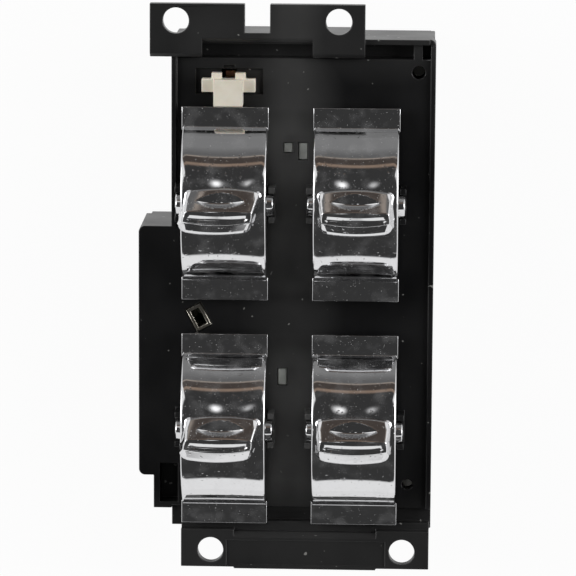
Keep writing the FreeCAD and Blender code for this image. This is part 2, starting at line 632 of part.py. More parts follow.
def upper_lugs():
    """The plate with two ears and a notch above the tray."""
    front = FLOOR + " + lug_rise"
    back = FLOOR + " + lug_rise - lug_thick"
    left = "-upper_hole_mid - upper_lug_width / 2"
    right = "-upper_hole_mid + upper_lug_width / 2"
    plate = box("upper_plate", left, right, "upper_bar_bottom", "lug_top", back, front)
    ear_left = box("upper_ear_left", left, left + " + upper_ear_width",
                   "upper_ear_bottom", "lug_top", back, front)
    ear_right = box("upper_ear_right", right + " - upper_ear_width", right,
                    "upper_ear_bottom", "lug_top", back, front)
    joined = fuse("upper_lug_plate", [plate, ear_left, ear_right])

    def lower_front_edge(edge):
        middle = edge.CenterOfMass
        at_front = abs(middle.z - measure(front)) < 1e-6
        return at_front and runs_along(edge, X_AXIS) and middle.y < size("notch_bottom")

    doc.recompute()
    bevelled = doc.addObject("Part::Chamfer", "upper_lug_bevelled")
    bevelled.Base = joined
    reach = size("upper_chamfer")
    picks = [n for n, edge in enumerate(joined.Shape.Edges, start=1) if lower_front_edge(edge)]
    bevelled.Edges = [(n, reach, reach) for n in picks]
    web = box("upper_web", "-tray_left", right, "tray_top - rim_wall", "tray_top",
              CEILING, back + " + lap")
    tools = [box("notch", "-upper_hole_mid - notch_width / 2", "-upper_hole_mid + notch_width / 2",
                 "notch_bottom", "lug_top + over_cut", back + " - over_cut", front + " + over_cut")]
    for hand in (-1, 1):
        tools.append(rod("upper_hole", "lug_hole / 2", "lug_thick + 2 * over_cut",
                         "-upper_hole_mid + %d * upper_hole_pitch / 2" % hand,
                         "upper_hole_row", back + " - over_cut"))
    return cut("upper_lugs", fuse("upper_lug_solid", [bevelled, web]), tools)


def lower_lugs():
    """The plate with two ears and a sunk panel below the tray."""
    front = FLOOR + " + lug_rise"
    back = FLOOR + " + lug_rise - lug_thick"
    plate = box("lower_plate", "-lower_lug_left + lower_ear_width",
                "lower_lug_right - lower_ear_width",
                "-lug_bottom", "-tray_bottom - lower_bar_set_back", back, front)
    ears = box("lower_ears", "-lower_lug_left", "lower_lug_right",
               "-lug_bottom + lower_ear_set_back", "-tray_bottom - lower_bar_set_back", back, front)
    ear_left = box("lower_ear_left", "-lower_lug_left", "-lower_lug_left + lower_ear_width",
                   "-lug_bottom + lower_ear_set_back", "-tray_bottom", back, front)
    ear_right = box("lower_ear_right", "lower_lug_right - lower_ear_width", "lower_lug_right",
                    "-lug_bottom + lower_ear_set_back", "-tray_bottom", back, front)
    web = box("lower_web", "-lower_lug_left", "lower_lug_right",
              "-tray_bottom - lower_bar_set_back", "-tray_bottom + skirt_wall",
              FLOOR + " - band_drop - floor_thick", back + " + lap")
    tools = [box("sunk_panel", "-panel_left", "panel_right", "-panel_bottom", "-panel_top",
                 front + " - panel_sink", front + " + over_cut")]
    for hand in (-1, 1):
        tools.append(rod("lower_hole", "lug_hole / 2", "lug_thick + 2 * over_cut",
                         "lower_hole_mid + %d * lower_hole_pitch / 2" % hand,
                         "-lower_hole_row", back + " - over_cut"))
    bevel = prism("lower_bevel", "yz", [
        ("-tray_bottom - lower_bar_set_back - lower_chamfer - lap", front + " + lap"),
        ("-tray_bottom - lower_bar_set_back + lap", front + " + lap"),
        ("-tray_bottom - lower_bar_set_back + lap", front + " - lower_chamfer - lap"),
    ], "-lower_lug_left + lower_ear_width",
        "lower_lug_left + lower_lug_right - 2 * lower_ear_width")
    tools.append(bevel)
    return cut("lower_lugs", fuse("lower_lug_solid", [plate, ears, ear_left, ear_right, web]), tools)


def light_window(which, gap="light_gap", bottom=None, top=None):
    """Block for a window in the floor or, with no gap, for the light pipe in it."""
    bottom = bottom or CEILING + " - over_cut"
    top = top or FLOOR + " + over_cut"
    wide = "small_light_width / 2 + %s" % gap
    if which == "lower":
        middle = "-lower_light_x"
        high = "-lower_light_top + %s" % gap
        low = "-lower_light_top - tall_light_length - %s" % gap
    else:
        hand = -1 if which == "upper_left" else 1
        middle = "upper_light_x + %d * upper_light_pitch / 2" % hand
        reach = "small_light_length" if hand < 0 else "tall_light_length"
        high = "upper_light_top + %s" % gap
        low = "upper_light_top - %s - %s" % (reach, gap)
    return box("light_block", "%s - (%s)" % (middle, wide), "%s + %s" % (middle, wide),
               low, high, bottom, top)


def lamp_block(name, grow, bottom, top):
    """A block with the outline of the tilted lamp sleeve, grown all round."""
    block = doc.addObject("Part::Box", name)
    tie(block, Length="lamp_width + 2 * (%s)" % grow, Width="lamp_length + 2 * (%s)" % grow)
    tie(block, Height="(%s) - (%s)" % (top, bottom))
    block.Placement = FreeCAD.Placement(FreeCAD.Vector(), FreeCAD.Rotation(Z_AXIS, size("lamp_angle")))
    half_long = "(lamp_width / 2 + %s)" % grow
    half_wide = "(lamp_length / 2 + %s)" % grow
    turn = "lamp_angle * 1 deg"
    return place(block,
                 "-lamp_x - %s * cos(%s) + %s * sin(%s)" % (half_long, turn, half_wide, turn),
                 "-lamp_y - %s * sin(%s) - %s * cos(%s)" % (half_long, turn, half_wide, turn),
                 bottom)


SCREWS = [("left", "upper"), ("right", "upper"), ("left", "lower"), ("right", "lower")]


def screw_place(side, row):
    """Where a case screw stands."""
    across = "-screw_left_x" if side == "left" else "screw_x"
    along = "screw_upper_y" if row == "upper" else "-screw_lower_y"
    return across, along


# Rear case: walls, back and connector socket in one moulding.

def rear_case():
    upper = footprint("case_upper", "case_inset", "foot_height", SEAM)
    lower = footprint("case_lower", "(case_inset + foot_inset)", "0", "foot_height")
    mass = fuse("case_mass", [upper, lower])
    lower_room = footprint("case_lower_room", "(case_inset + foot_inset + wall)",
                           "back_thick", "board_height + lap")
    upper_room = footprint("case_upper_room", "(case_inset + wall)", "board_height", SEAM)
    shroud = box("socket_shroud",
                 "-socket_mid_x - socket_width / 2 - socket_wall",
                 "-socket_mid_x + socket_width / 2 + socket_wall",
                 "-socket_mid_y - socket_length / 2 - socket_wall",
                 "-socket_mid_y + socket_length / 2 + socket_wall",
                 "0", "socket_depth + socket_wall")
    socket = box("socket", "-socket_mid_x - socket_width / 2", "-socket_mid_x + socket_width / 2",
                 "-socket_mid_y - socket_length / 2", "-socket_mid_y + socket_length / 2",
                 "-over_cut", "socket_depth")
    seat = box("header_seat", "-socket_mid_x - header_width / 2 - header_clearance",
               "-socket_mid_x + header_width / 2 + header_clearance",
               "-socket_mid_y - header_length / 2 - header_clearance",
               "-socket_mid_y + header_length / 2 + header_clearance",
               "socket_depth - over_cut", "socket_depth + socket_wall + over_cut")
    grooves = []
    for offset in ("-socket_length / 4", "socket_length / 3"):
        middle = "-socket_mid_y + (%s)" % offset
        grooves.append(box("coding_groove", "-socket_mid_x + socket_width / 2 - lap",
                           "-socket_mid_x + socket_width / 2 + key_slot_depth",
                           middle + " - key_slot_width / 2", middle + " + key_slot_width / 2",
                           "-over_cut", "socket_depth - key_slot_end"))
    ledges = []
    for low, high in (("-tray_bottom + case_inset", "-tray_bottom + case_inset + foot_inset + wall"
                       " + rest_width"),
                      ("tray_top - case_inset - foot_inset - wall - rest_width",
                       "tray_top - case_inset")):
        ledges.append(box("board_ledge", "-tray_left / 2", "right_edge / 2", low, high,
                          "back_thick - lap", "board_height"))
    bosses = []
    bores = []
    for side, row in SCREWS:
        across, along = screw_place(side, row)
        bosses.append(rod("rear_boss", "screw_head / 2 + boss_wall", "board_height - boss_gap - lap",
                          across, along, "lap"))
        bores.append(rod("rear_bore", "screw_diameter / 2 + screw_clearance", "board_height + 2 * over_cut",
                         across, along, "-over_cut"))
        bores.append(rod("head_bore", "screw_head / 2 + screw_clearance",
                         "screw_sink + screw_head_height + over_cut", across, along, "-over_cut"))
    hollow = cut("case_hollow", mass, [lower_room, upper_room])
    filled = fuse("case_filled", [hollow, shroud] + ledges + bosses)
    return finish("rear_case", cut("case", filled, [socket, seat] + grooves + bores))


def board_outline(name, inset, bottom, top):
    """The board's outline or, further in, that of the frame over it."""
    edge = "(case_inset + wall + board_gap + %s)" % inset
    tray = box(name + "_main", "-tray_left + " + edge, "right_edge - " + edge,
               "-tray_bottom + " + edge, "tray_top - " + edge, bottom, top)
    wing = box(name + "_wing", "-left_edge + " + edge, "-tray_left + 1 + " + edge,
               "-wing_bottom + " + edge, "wing_top - " + edge, bottom, top)
    return fuse(name, [tray, wing])


def blade_places():
    """Middle of each connector blade."""
    places = []
    for row in (-1, 1):
        for index in range(int(size("blade_count"))):
            shift = index - (int(size("blade_count")) - 1) / 2
            places.append(("-socket_mid_x + %d * row_pitch / 2" % row,
                           "-socket_mid_y + %.1f * blade_pitch" % shift))
    return places


def circuit_board():
    plate = board_outline("board_plate", "0", "board_height", BOARD_TOP)
    holes = [rod("tail_hole", "tail_hole / 2", "board_thick + 2 * over_cut", across, along,
                 "board_height - over_cut")
             for across, along in blade_places()]
    for side, row in SCREWS:
        across, along = screw_place(side, row)
        holes.append(rod("board_screw_hole", "screw_diameter / 2 + 2 * screw_clearance",
                         "board_thick + 2 * over_cut", across, along, "board_height - over_cut"))
    return finish("circuit_board", cut("board", plate, holes))


def contact_frame():
    bottom = BOARD_TOP + " + frame_gap"
    top = bottom + " + frame_thick"
    plate = board_outline("frame_plate", "frame_margin", bottom, top)
    tools = []
    for name, side, row in KEYS:
        middle = key_x(side)
        tools.append(box("frame_window", middle + " - window_width / 2",
                         middle + " + window_width / 2", row + " - window_length / 2",
                         row + " + window_length / 2", bottom + " - over_cut", top + " + over_cut"))
    reach = "(screw_diameter / 2 + boss_wall + 2 * boss_gap)"
    for side, row in SCREWS:
        across, along = screw_place(side, row)
        tools.append(rod("frame_screw_hole", reach, "frame_thick + 2 * over_cut", across, along,
                         bottom + " - over_cut"))
    tools.append(box("tail_window", "-socket_mid_x - header_width / 2",
                     "-socket_mid_x + header_width / 2",
                     "-socket_mid_y - header_length / 2", "-socket_mid_y + header_length / 2",
                     bottom + " - over_cut", top + " + over_cut"))
    tools.append(box("light_space", "-small_light_width - lower_light_x",
                     "upper_light_x + upper_light_pitch / 2 + small_light_width",
                     "-lower_light_top - 2 * tall_light_length",
                     "upper_light_top + small_light_length", bottom + " - over_cut", top + " + over_cut"))
    tools.append(box("wiper_space", "-slide_mid_x - slide_leg_width", "-slide_mid_x + slide_leg_width",
                     "slide_bar_low + (slide_leg_length - wiper_length) / 2 - wiper_gap",
                     "slide_bar_low + (slide_leg_length + wiper_length) / 2"
                     " + slide_travel + wiper_gap",
                     bottom + " - over_cut", top + " + over_cut"))
    tools.append(lamp_block("lamp_space", "3 * light_gap", bottom + " - over_cut", top + " + over_cut"))
    pegs = [
        rod("upper_peg", "upper_peg_hole / 2 - peg_clearance",
            "%s - upper_peg_sink - (%s)" % (FLOOR, bottom), "upper_peg_x", "upper_peg_y", bottom),
        rod("lower_peg", "lower_peg_hole / 2 - peg_clearance",
            "%s - lower_peg_sink - (%s)" % (FLOOR, bottom), "lower_peg_x", "-lower_peg_y", bottom),
    ]
    feet = []
    for across, along in (("upper_peg_x", "upper_peg_y"), ("lower_peg_x", "-lower_peg_y"),
                          ("right_edge / 4", "tray_top / 2 + track_low / 2"),
                          ("-tray_left / 2", "-tray_bottom + frame_foot_set")):
        feet.append(rod("frame_foot", "lower_peg_hole / 2", "frame_gap + lap", across, along,
                        BOARD_TOP))
    return finish("contact_frame", fuse("frame", [cut("frame_cut", plate, tools)] + pegs + feet))


def pin_header():
    block = box("header_block", "-socket_mid_x - header_width / 2", "-socket_mid_x + header_width / 2",
                "-socket_mid_y - header_length / 2", "-socket_mid_y + header_length / 2",
                "socket_depth - header_reach", "board_height")
    slots = []
    for across, along in blade_places():
        slots.append(box("header_slot", across + " - blade_thick / 2", across + " + blade_thick / 2",
                         along + " - blade_width / 2", along + " + blade_width / 2",
                         "0", "board_height - shoulder_gap"))
        slots.append(box("header_tail_slot", across + " - blade_thick / 2",
                         across + " + blade_thick / 2", along + " - tail_width / 2",
                         along + " + tail_width / 2", "0", "board_height + over_cut"))
    return finish("pin_header", cut("header", block, slots))


def connector_blades():
    blades = []
    for across, along in blade_places():
        blade = box("blade", across + " - blade_thick / 2", across + " + blade_thick / 2",
                    along + " - blade_width / 2", along + " + blade_width / 2",
                    "blade_recess", "board_height - shoulder_gap")
        tail = box("tail", across + " - blade_thick / 2", across + " + blade_thick / 2",
                   along + " - tail_width / 2", along + " + tail_width / 2",
                   "board_height - over_cut", BOARD_TOP + " + tail_stand")
        blades.append(fuse("blade_piece", [blade, tail]))
    return finish("connector_blades", group("blades", blades))


def case_screws():
    screws = []
    for side, row in SCREWS:
        across, along = screw_place(side, row)
        head = rod("screw_head", "screw_head / 2", "screw_head_height", across, along, "screw_sink")
        shank = rod("screw_shank", "screw_diameter / 2",
                    "%s + boss_gap + screw_bite - screw_sink - screw_end_gap" % BOARD_TOP,
                    across, along, "screw_sink")
        screws.append(fuse("screw", [head, shank]))
    return finish("case_screws", group("screws", screws))


# Keys: a hollow arch with a flange at each end, hinge pins, a finger pull and a stem.

def finger_pull(middle, row):
    """The pull: its side view, its front view and its rounded plan, all at once."""
    def at(along, up):
        return row + " + (%s)" % along, PIVOT + " + (%s)" % up

    buried = "arch_rise - flange_drop - key_wall"
    side_view = prism("pull_side", "yz", [
        at("pull_back", buried),
        at("pull_back", "arch_rise - flange_drop - pull_step"),
        at("0", "pull_height"),
        at("-scoop_place", "scoop_height"),
        at("-step_place", "step_height"),
        at("-step_place - step_run", "step_height - step_drop"),
        at("-pull_front", "lip_height"),
        at("-pull_front", "lip_height - lip_thick"),
        at("-pull_front + undercut_depth", "lip_height - lip_thick - undercut_slope"),
        at("-pull_front + undercut_depth", buried),
    ], middle + " - pull_base_width / 2 - over_cut", "pull_base_width + 2 * over_cut")
    doc.recompute()
    reaches = [("0", "pull_height", "ridge_round"), ("-scoop_place", "scoop_height", "scoop_round"),
               ("-pull_front", "lip_height", "lip_round"),
               ("-pull_front", "lip_height - lip_thick", "lip_round")]
    rounded_side = doc.addObject("Part::Fillet", "pull_side_rounded")
    rounded_side.Base = side_view
    corners = [(measure(row + " + (%s)" % along), measure(PIVOT + " + (%s)" % up), size(reach))
               for along, up, reach in reaches]
    rounded_side.Edges = [(number, reach, reach)
                          for number, edge in enumerate(side_view.Shape.Edges, start=1)
                          for along, up, reach in corners
                          if runs_along(edge, X_AXIS) and abs(edge.CenterOfMass.y - along) < NEAR
                          and abs(edge.CenterOfMass.z - up) < NEAR]
    base = "pull_base_width / 2"
    crown = "pull_top_width / 2"
    front_view = prism("pull_face", "xz", [
        (middle + " - " + base, PIVOT + " + arch_rise - flange_drop - key_wall - lap"),
        (middle + " + " + base, PIVOT + " + arch_rise - flange_drop - key_wall - lap"),
        (middle + " + " + base, PIVOT + " + arch_rise - flange_drop - pull_flare_end"),
        (middle + " + " + crown, PIVOT + " + pull_height"),
        (middle + " - " + crown, PIVOT + " + pull_height"),
        (middle + " - " + base, PIVOT + " + arch_rise - flange_drop - pull_flare_end"),
    ], row + " + pull_back + lap", "pull_back + pull_front + over_cut")
    plan = box("pull_plan", middle + " - " + base, middle + " + " + base,
               row + " - pull_front", row + " + pull_back",
               PIVOT + " + arch_rise - flange_drop - key_wall - lap", PIVOT + " + pull_height + over_cut")
    rounded = fillet("pull_plan_round", plan, "pull_round", lambda e: runs_along(e, Z_AXIS))
    pull = common("pull_mass", [rounded_side, front_view, rounded])
    slope = math.atan2(size("pull_height") - size("arch_rise") + size("flange_drop") + size("pull_step"),
                       size("pull_back"))
    dish = doc.addObject("Part::Ellipsoid", "thumb_dish")
    tie(dish, Radius1="dish_depth", Radius2="dish_length / 2", Radius3="dish_width / 2")
    dish.Placement = FreeCAD.Placement(FreeCAD.Vector(),
                                       FreeCAD.Rotation(X_AXIS, -math.degrees(slope)))
    rise = "(pull_height - arch_rise + flange_drop + pull_step) / pull_back"
    place(dish, middle, row + " + dish_place", PIVOT + " + pull_height - dish_place * " + rise)
    return cut("pull", pull, [dish])


def key(name, side, row):
    middle = key_x(side)
    underside = PIVOT + " - flange_drop - flange_thick"
    axis_height = PIVOT + " - flange_drop + arch_rise - arch_radius"
    half = "arch_width / 2"
    drum = rod("arch_drum", "arch_radius", "arch_width", middle + " - " + half, row,
               axis_height, (1, 0, 0))
    above = box("arch_above", middle + " - " + half, middle + " + " + half,
                row + " - key_length / 2", row + " + key_length / 2",
                underside, PIVOT + " + arch_rise")
    arch = common("arch", [drum, above])
    flange = box("flange", middle + " - key_width / 2", middle + " + key_width / 2",
                 row + " - key_length / 2", row + " + key_length / 2",
                 underside, PIVOT + " - flange_drop")
    hollow_drum = rod("hollow_drum", "arch_radius - key_wall", "arch_width - 2 * key_wall",
                      middle + " - " + half + " + key_wall", row, axis_height, (1, 0, 0))
    hollow_above = box("hollow_above", middle + " - " + half, middle + " + " + half,
                       row + " - key_length / 2", row + " + key_length / 2",
                       underside + " - over_cut", PIVOT + " + arch_rise")
    hollow = common("key_hollow", [hollow_drum, hollow_above])
    face = measure(PIVOT + " - flange_drop")
    rounded = fillet("key_footed", fuse("key_mass", [arch, flange]), "foot_round",
                     lambda e: runs_along(e, X_AXIS) and abs(e.CenterOfMass.z - face) < NEAR
                     and abs(e.CenterOfMass.y - measure(row)) < size("key_length") / 2 - NEAR)
    shell = cut("key_shell", rounded, [hollow])
    roof = "arch_rise - flange_drop - key_wall / 2"
    stem = box("stem", middle + " - stem_width / 2", middle + " + stem_width / 2",
               row + " - stem_length / 2", row + " + stem_length / 2",
               PIVOT + " - stem_reach", PIVOT + " + " + roof)
    rib = box("key_rib", middle + " - arch_width / 2 + key_wall / 2",
              middle + " + arch_width / 2 - key_wall / 2",
              row + " - key_wall / 2", row + " + key_wall / 2", underside, PIVOT + " + " + roof)
    pins = [
        rod("pin_left", "pin_diameter / 2", "pin_reach + key_wall",
            middle + " - arch_width / 2 - pin_reach", row, PIVOT, (1, 0, 0)),
        rod("pin_right", "pin_diameter / 2", "pin_reach + key_wall",
            middle + " + arch_width / 2 - key_wall", row, PIVOT, (1, 0, 0)),
    ]
    bore = rod("bore", "bore_diameter / 2", "bore_depth + over_cut", middle, row,
               PIVOT + " - stem_reach - over_cut")
    solid = fuse("key_solid", [shell, stem, rib, finger_pull(middle, row)] + pins)
    return finish("key_" + name, cut("key", solid, [bore]))


def plunger(name, side, row):
    """A turned pin with a round tip that slides in the stem's bore."""
    body = doc.addObject("PartDesign::Body", "plunger_body")
    upright = [f for f in body.Origin.OriginFeatures if f.Role == "XZ_Plane"][0]
    profile = body.newObject("Sketcher::SketchObject", "plunger_profile")
    profile.AttachmentSupport = [(upright, "")]
    profile.MapMode = "FlatFace"
    radius = size("bore_diameter") / 2 - size("plunger_clearance")
    length = size("plunger_length")
    tip = Part.Circle(FreeCAD.Vector(0, radius, 0), Z_AXIS, radius)
    profile.addGeometry(Part.ArcOfCircle(tip, -math.pi / 2, 0), False)
    profile.addGeometry(Part.LineSegment(FreeCAD.Vector(radius, radius, 0),
                                         FreeCAD.Vector(radius, length, 0)), False)
    profile.addGeometry(Part.LineSegment(FreeCAD.Vector(radius, length, 0),
                                         FreeCAD.Vector(0, length, 0)), False)
    profile.addGeometry(Part.LineSegment(FreeCAD.Vector(0, length, 0), FreeCAD.Vector()), False)
    profile.addConstraint(Sketcher.Constraint("Tangent", 0, 2, 1, 1))
    profile.addConstraint(Sketcher.Constraint("Coincident", 1, 2, 2, 1))
    profile.addConstraint(Sketcher.Constraint("Coincident", 2, 2, 3, 1))
    profile.addConstraint(Sketcher.Constraint("Coincident", 3, 2, 0, 1))
    profile.addConstraint(Sketcher.Constraint("Coincident", 3, 2, -1, 1))
    profile.addConstraint(Sketcher.Constraint("Vertical", 1))
    profile.addConstraint(Sketcher.Constraint("Horizontal", 2))
    profile.addConstraint(Sketcher.Constraint("Vertical", 3))
    wide = profile.addConstraint(Sketcher.Constraint("Radius", 0, radius))
    profile.setExpression("Constraints[%d]" % wide,
                          qualify("bore_diameter / 2 - plunger_clearance"))
    tall = profile.addConstraint(Sketcher.Constraint("DistanceY", 3, 2, 3, 1, length))
    profile.setExpression("Constraints[%d]" % tall, qualify("plunger_length"))
    turned = body.newObject("PartDesign::Revolution", "plunger_turned")
    turned.Profile = profile
    turned.ReferenceAxis = (profile, ["V_Axis"])
    turned.Angle = 360
    body.Tip = turned
    place(body, key_x(side), row, HINGE + " + seat_gap + rocker_thick + tip_gap")
    return finish("plunger_" + name, body)


def return_spring(name, side, row):
    """The coil spring between the plunger and the end of its bore."""
    bottom = HINGE + " + seat_gap + rocker_thick + tip_gap + plunger_length + spring_end_gap"
    top = PIVOT + " - stem_reach + bore_depth - spring_end_gap"
    helix = doc.addObject("Part::Helix", "spring_line")
    tie(helix, Radius="spring_coil / 2", Pitch="spring_pitch",
        Height="(%s) - (%s) - spring_wire" % (top, bottom))
    wire = doc.addObject("Part::Circle", "spring_wire")
    tie(wire, Radius="spring_wire / 2")
    wire.Placement = FreeCAD.Placement(FreeCAD.Vector(), FreeCAD.Rotation(X_AXIS, 90))
    place(wire, "spring_coil / 2")
    coil = doc.addObject("Part::Sweep", "spring_sweep")
    coil.Sections = [wire]
    coil.Spine = (helix, ["Edge1"])
    coil.Solid = True
    coil.Frenet = True
    place(coil, key_x(side), row, bottom + " + spring_wire / 2")
    return finish("return_spring_" + name, coil)


def rocking_contact(name, side, row):
    """A sprung copper blade with a button at each end and two cheeks that straddle the fulcrum."""
    middle = key_x(side)
    under = HINGE + " + seat_gap"
    pieces = [box("contact_blade", middle + " - rocker_width / 2", middle + " + rocker_width / 2",
                  row + " - rocker_length / 2", row + " + rocker_length / 2",
                  under, under + " + rocker_thick")]
    for hand in (-1, 1):
        pieces.append(rod("moving_button", "button_diameter / 2", "button_height + rocker_thick / 2",
                          middle, row + " + %d * button_place" % hand, under + " - button_height"))
        inner = "fulcrum_width / 2 + seat_gap * 2"
        near, far = (inner, "rocker_width / 2") if hand > 0 else ("-rocker_width / 2",
                                                                 "-(%s)" % inner)
        pieces.append(box("contact_cheek", "%s + %s" % (middle, near), "%s + %s" % (middle, far),
                          row + " - fulcrum_thick", row + " + fulcrum_thick",
                          under + " - fulcrum_height / 2", under + " + rocker_thick / 2"))
    return finish("rocking_contact_" + name, fuse("contact", pieces))


def fulcrum_terminals():
    posts = []
    for name, side, row in KEYS:
        middle = key_x(side)
        post = box("fulcrum_post", middle + " - fulcrum_width / 2", middle + " + fulcrum_width / 2",
                   row + " - fulcrum_thick / 2", row + " + fulcrum_thick / 2",
                   BOARD_TOP, HINGE + " - fulcrum_thick / 2")
        crest = rod("fulcrum_crest", "fulcrum_thick / 2", "fulcrum_width",
                    middle + " - fulcrum_width / 2", row, HINGE + " - fulcrum_thick / 2", (1, 0, 0))
        posts.append(fuse("fulcrum", [post, crest]))
    return finish("fulcrum_terminals", group("fulcrums", posts))


def fixed_contacts():
    buttons = []
    for name, side, row in KEYS:
        for hand in (-1, 1):
            buttons.append(rod("fixed_button", "button_diameter / 2", "fixed_height",
                               key_x(side), row + " + %d * button_place" % hand, BOARD_TOP))
    return finish("fixed_contacts", group("fixed_buttons", buttons))


# Lockout slide and its wiper.

def lock_slide():
    base = FLOOR + " + slide_lift"
    bar = box("slide_bar", "-slide_mid_x - slide_bar_width / 2", "-slide_mid_x + slide_bar_width / 2",
              "slide_bar_low", "slide_bar_high", base, base + " + slide_bar_thick")
    grip = box("slide_grip", "-slide_mid_x - slide_grip_width / 2",
               "-slide_mid_x + slide_grip_width / 2",
               "slide_grip_low", "slide_bar_high", base, FLOOR + " + slide_grip_height")
    ears = [box("slide_ear", "-slide_mid_x + %d * slide_ear_pitch / 2 - slide_ear_width / 2" % hand,
                "-slide_mid_x + %d * slide_ear_pitch / 2 + slide_ear_width / 2" % hand,
                "slide_bar_high - over_cut", "slide_ear_high", base, base + " + slide_bar_thick")
            for hand in (-1, 1)]
    leg = box("slide_leg", "-slide_mid_x - slide_leg_width / 2", "-slide_mid_x + slide_leg_width / 2",
              "slide_bar_low", "slide_bar_low + slide_leg_length",
              FLOOR + " - slide_leg_end", base + " + lap")
    return finish("lock_slide", fuse("slide", [bar, grip, leg] + ears))


def lock_wiper():
    middle = "slide_bar_low + slide_leg_length / 2"
    top = FLOOR + " - slide_leg_end"
    bridge = box("wiper_bridge", "-slide_mid_x - wiper_width / 2", "-slide_mid_x + wiper_width / 2",
                 middle + " - wiper_length / 2", middle + " + wiper_length / 2",
                 top + " - wiper_thick", top)
    arms = []
    for hand in (-1, 1):
        outer = middle + " + %d * wiper_length / 2" % hand
        inner = middle + " + %d * (wiper_length / 2 - wiper_thick)" % hand
        low, high = (inner, outer) if hand > 0 else (outer, inner)
        arms.append(box("wiper_arm", "-slide_mid_x - wiper_width / 2",
                        "-slide_mid_x + wiper_width / 2", low, high,
                        BOARD_TOP + " + frame_gap", top))
    return finish("lock_wiper", fuse("wiper", [bridge] + arms))


# Light pipes, lamp sleeve and lamps.

def upper_light_pipe():
    front = FLOOR + " - light_sink"
    left = light_window("upper_left", "0", CEILING + " - pipe_yoke", front)
    right = light_window("upper_right", "0", CEILING + " - pipe_yoke", front)
    reach = "upper_light_pitch / 2 + small_light_width / 2 + pipe_flange"
    yoke = box("pipe_yoke", "upper_light_x - (%s)" % reach, "upper_light_x + %s" % reach,
               "upper_light_top - tall_light_length - pipe_flange", "upper_light_top + pipe_flange",
               CEILING + " - pipe_yoke", CEILING)
    stem = box("pipe_stem", "upper_light_x - small_light_width / 2",
               "upper_light_x + small_light_width / 2",
               "upper_light_top - tall_light_length", "upper_light_top",
               PIPE_END, CEILING)
    return finish("upper_light_pipe", fuse("upper_pipe", [left, right, yoke, stem]))


def lower_light_pipe():
    prong = light_window("lower", "0", PIPE_END, FLOOR + " - light_sink")
    collar = light_window("lower", "pipe_flange", CEILING + " - pipe_yoke", CEILING)
    return finish("lower_light_pipe", fuse("lower_pipe", [prong, collar]))


def lamp_sleeve():
    outer = lamp_block("sleeve_block", "0", SLEEVE_END, FLOOR + " + lamp_stand")
    collar = lamp_block("sleeve_collar", "lamp_wall", CEILING + " - lamp_wall", CEILING)
    inner = lamp_block("sleeve_bore", "-lamp_wall", SLEEVE_END + " - over_cut",
                       FLOOR + " + lamp_stand + over_cut")
    return finish("lamp_sleeve", cut("sleeve", fuse("sleeve_mass", [outer, collar]), [inner]))


def board_lamps():
    places = [
        ("upper_light_x", "upper_light_top - tall_light_length / 2"),
        ("-lower_light_x", "-lower_light_top - tall_light_length / 2"),
        ("-lamp_x", "-lamp_y"),
    ]
    lamps = [box("board_lamp", across + " - led_size / 2", across + " + led_size / 2",
                 along + " - led_size / 2", along + " + led_size / 2",
                 BOARD_TOP, BOARD_TOP + " + led_height")
             for across, along in places]
    return finish("board_lamps", group("lamps", lamps))


front_housing()
rear_case()
circuit_board()
contact_frame()
pin_header()
connector_blades()
case_screws()
fulcrum_terminals()
fixed_contacts()
for key_name, key_side, key_row in KEYS:
    key(key_name, key_side, key_row)
    plunger(key_name, key_side, key_row)
    return_spring(key_name, key_side, key_row)
    rocking_contact(key_name, key_side, key_row)
lock_slide()
lock_wiper()
upper_light_pipe()
lower_light_pipe()
lamp_sleeve()
board_lamps()
doc.recompute()

faults = [item.Name for item in doc.Objects if "Invalid" in item.State or "Error" in item.State]
if faults:
    raise RuntimeError("failed objects: %s" % faults)
for node, solid in nodes:
    shape = solid.Shape
    if shape.isNull() or not shape.isValid() or shape.Volume <= 0:
        raise RuntimeError("bad shape: %s" % node)
    shape.exportStep("parts/%s.step" % node)
    bounds = shape.BoundBox
    print("%-28s %d solids %9.1f mm3  z %6.2f to %6.2f" % (
        node, len(shape.Solids), shape.Volume, bounds.ZMin, bounds.ZMax))
print("%d nodes" % len(nodes))
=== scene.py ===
# %% [markdown]
# # Power window switch
#
# The object is a switch module from a car door: a flat black moulding with screw lugs at
# both ends, four plated rocker keys, an ivory lockout slide and a connector behind. The
# construction model holds every part at its real size. This notebook dresses that model:
# it gives each surface its finish, builds the pieces whose shape shows in their
# reflections, and sets up the camera and the light of the photograph.

# %% Load the construction model
import json
import math

import bmesh
import bpy
from mathutils import Matrix, Vector

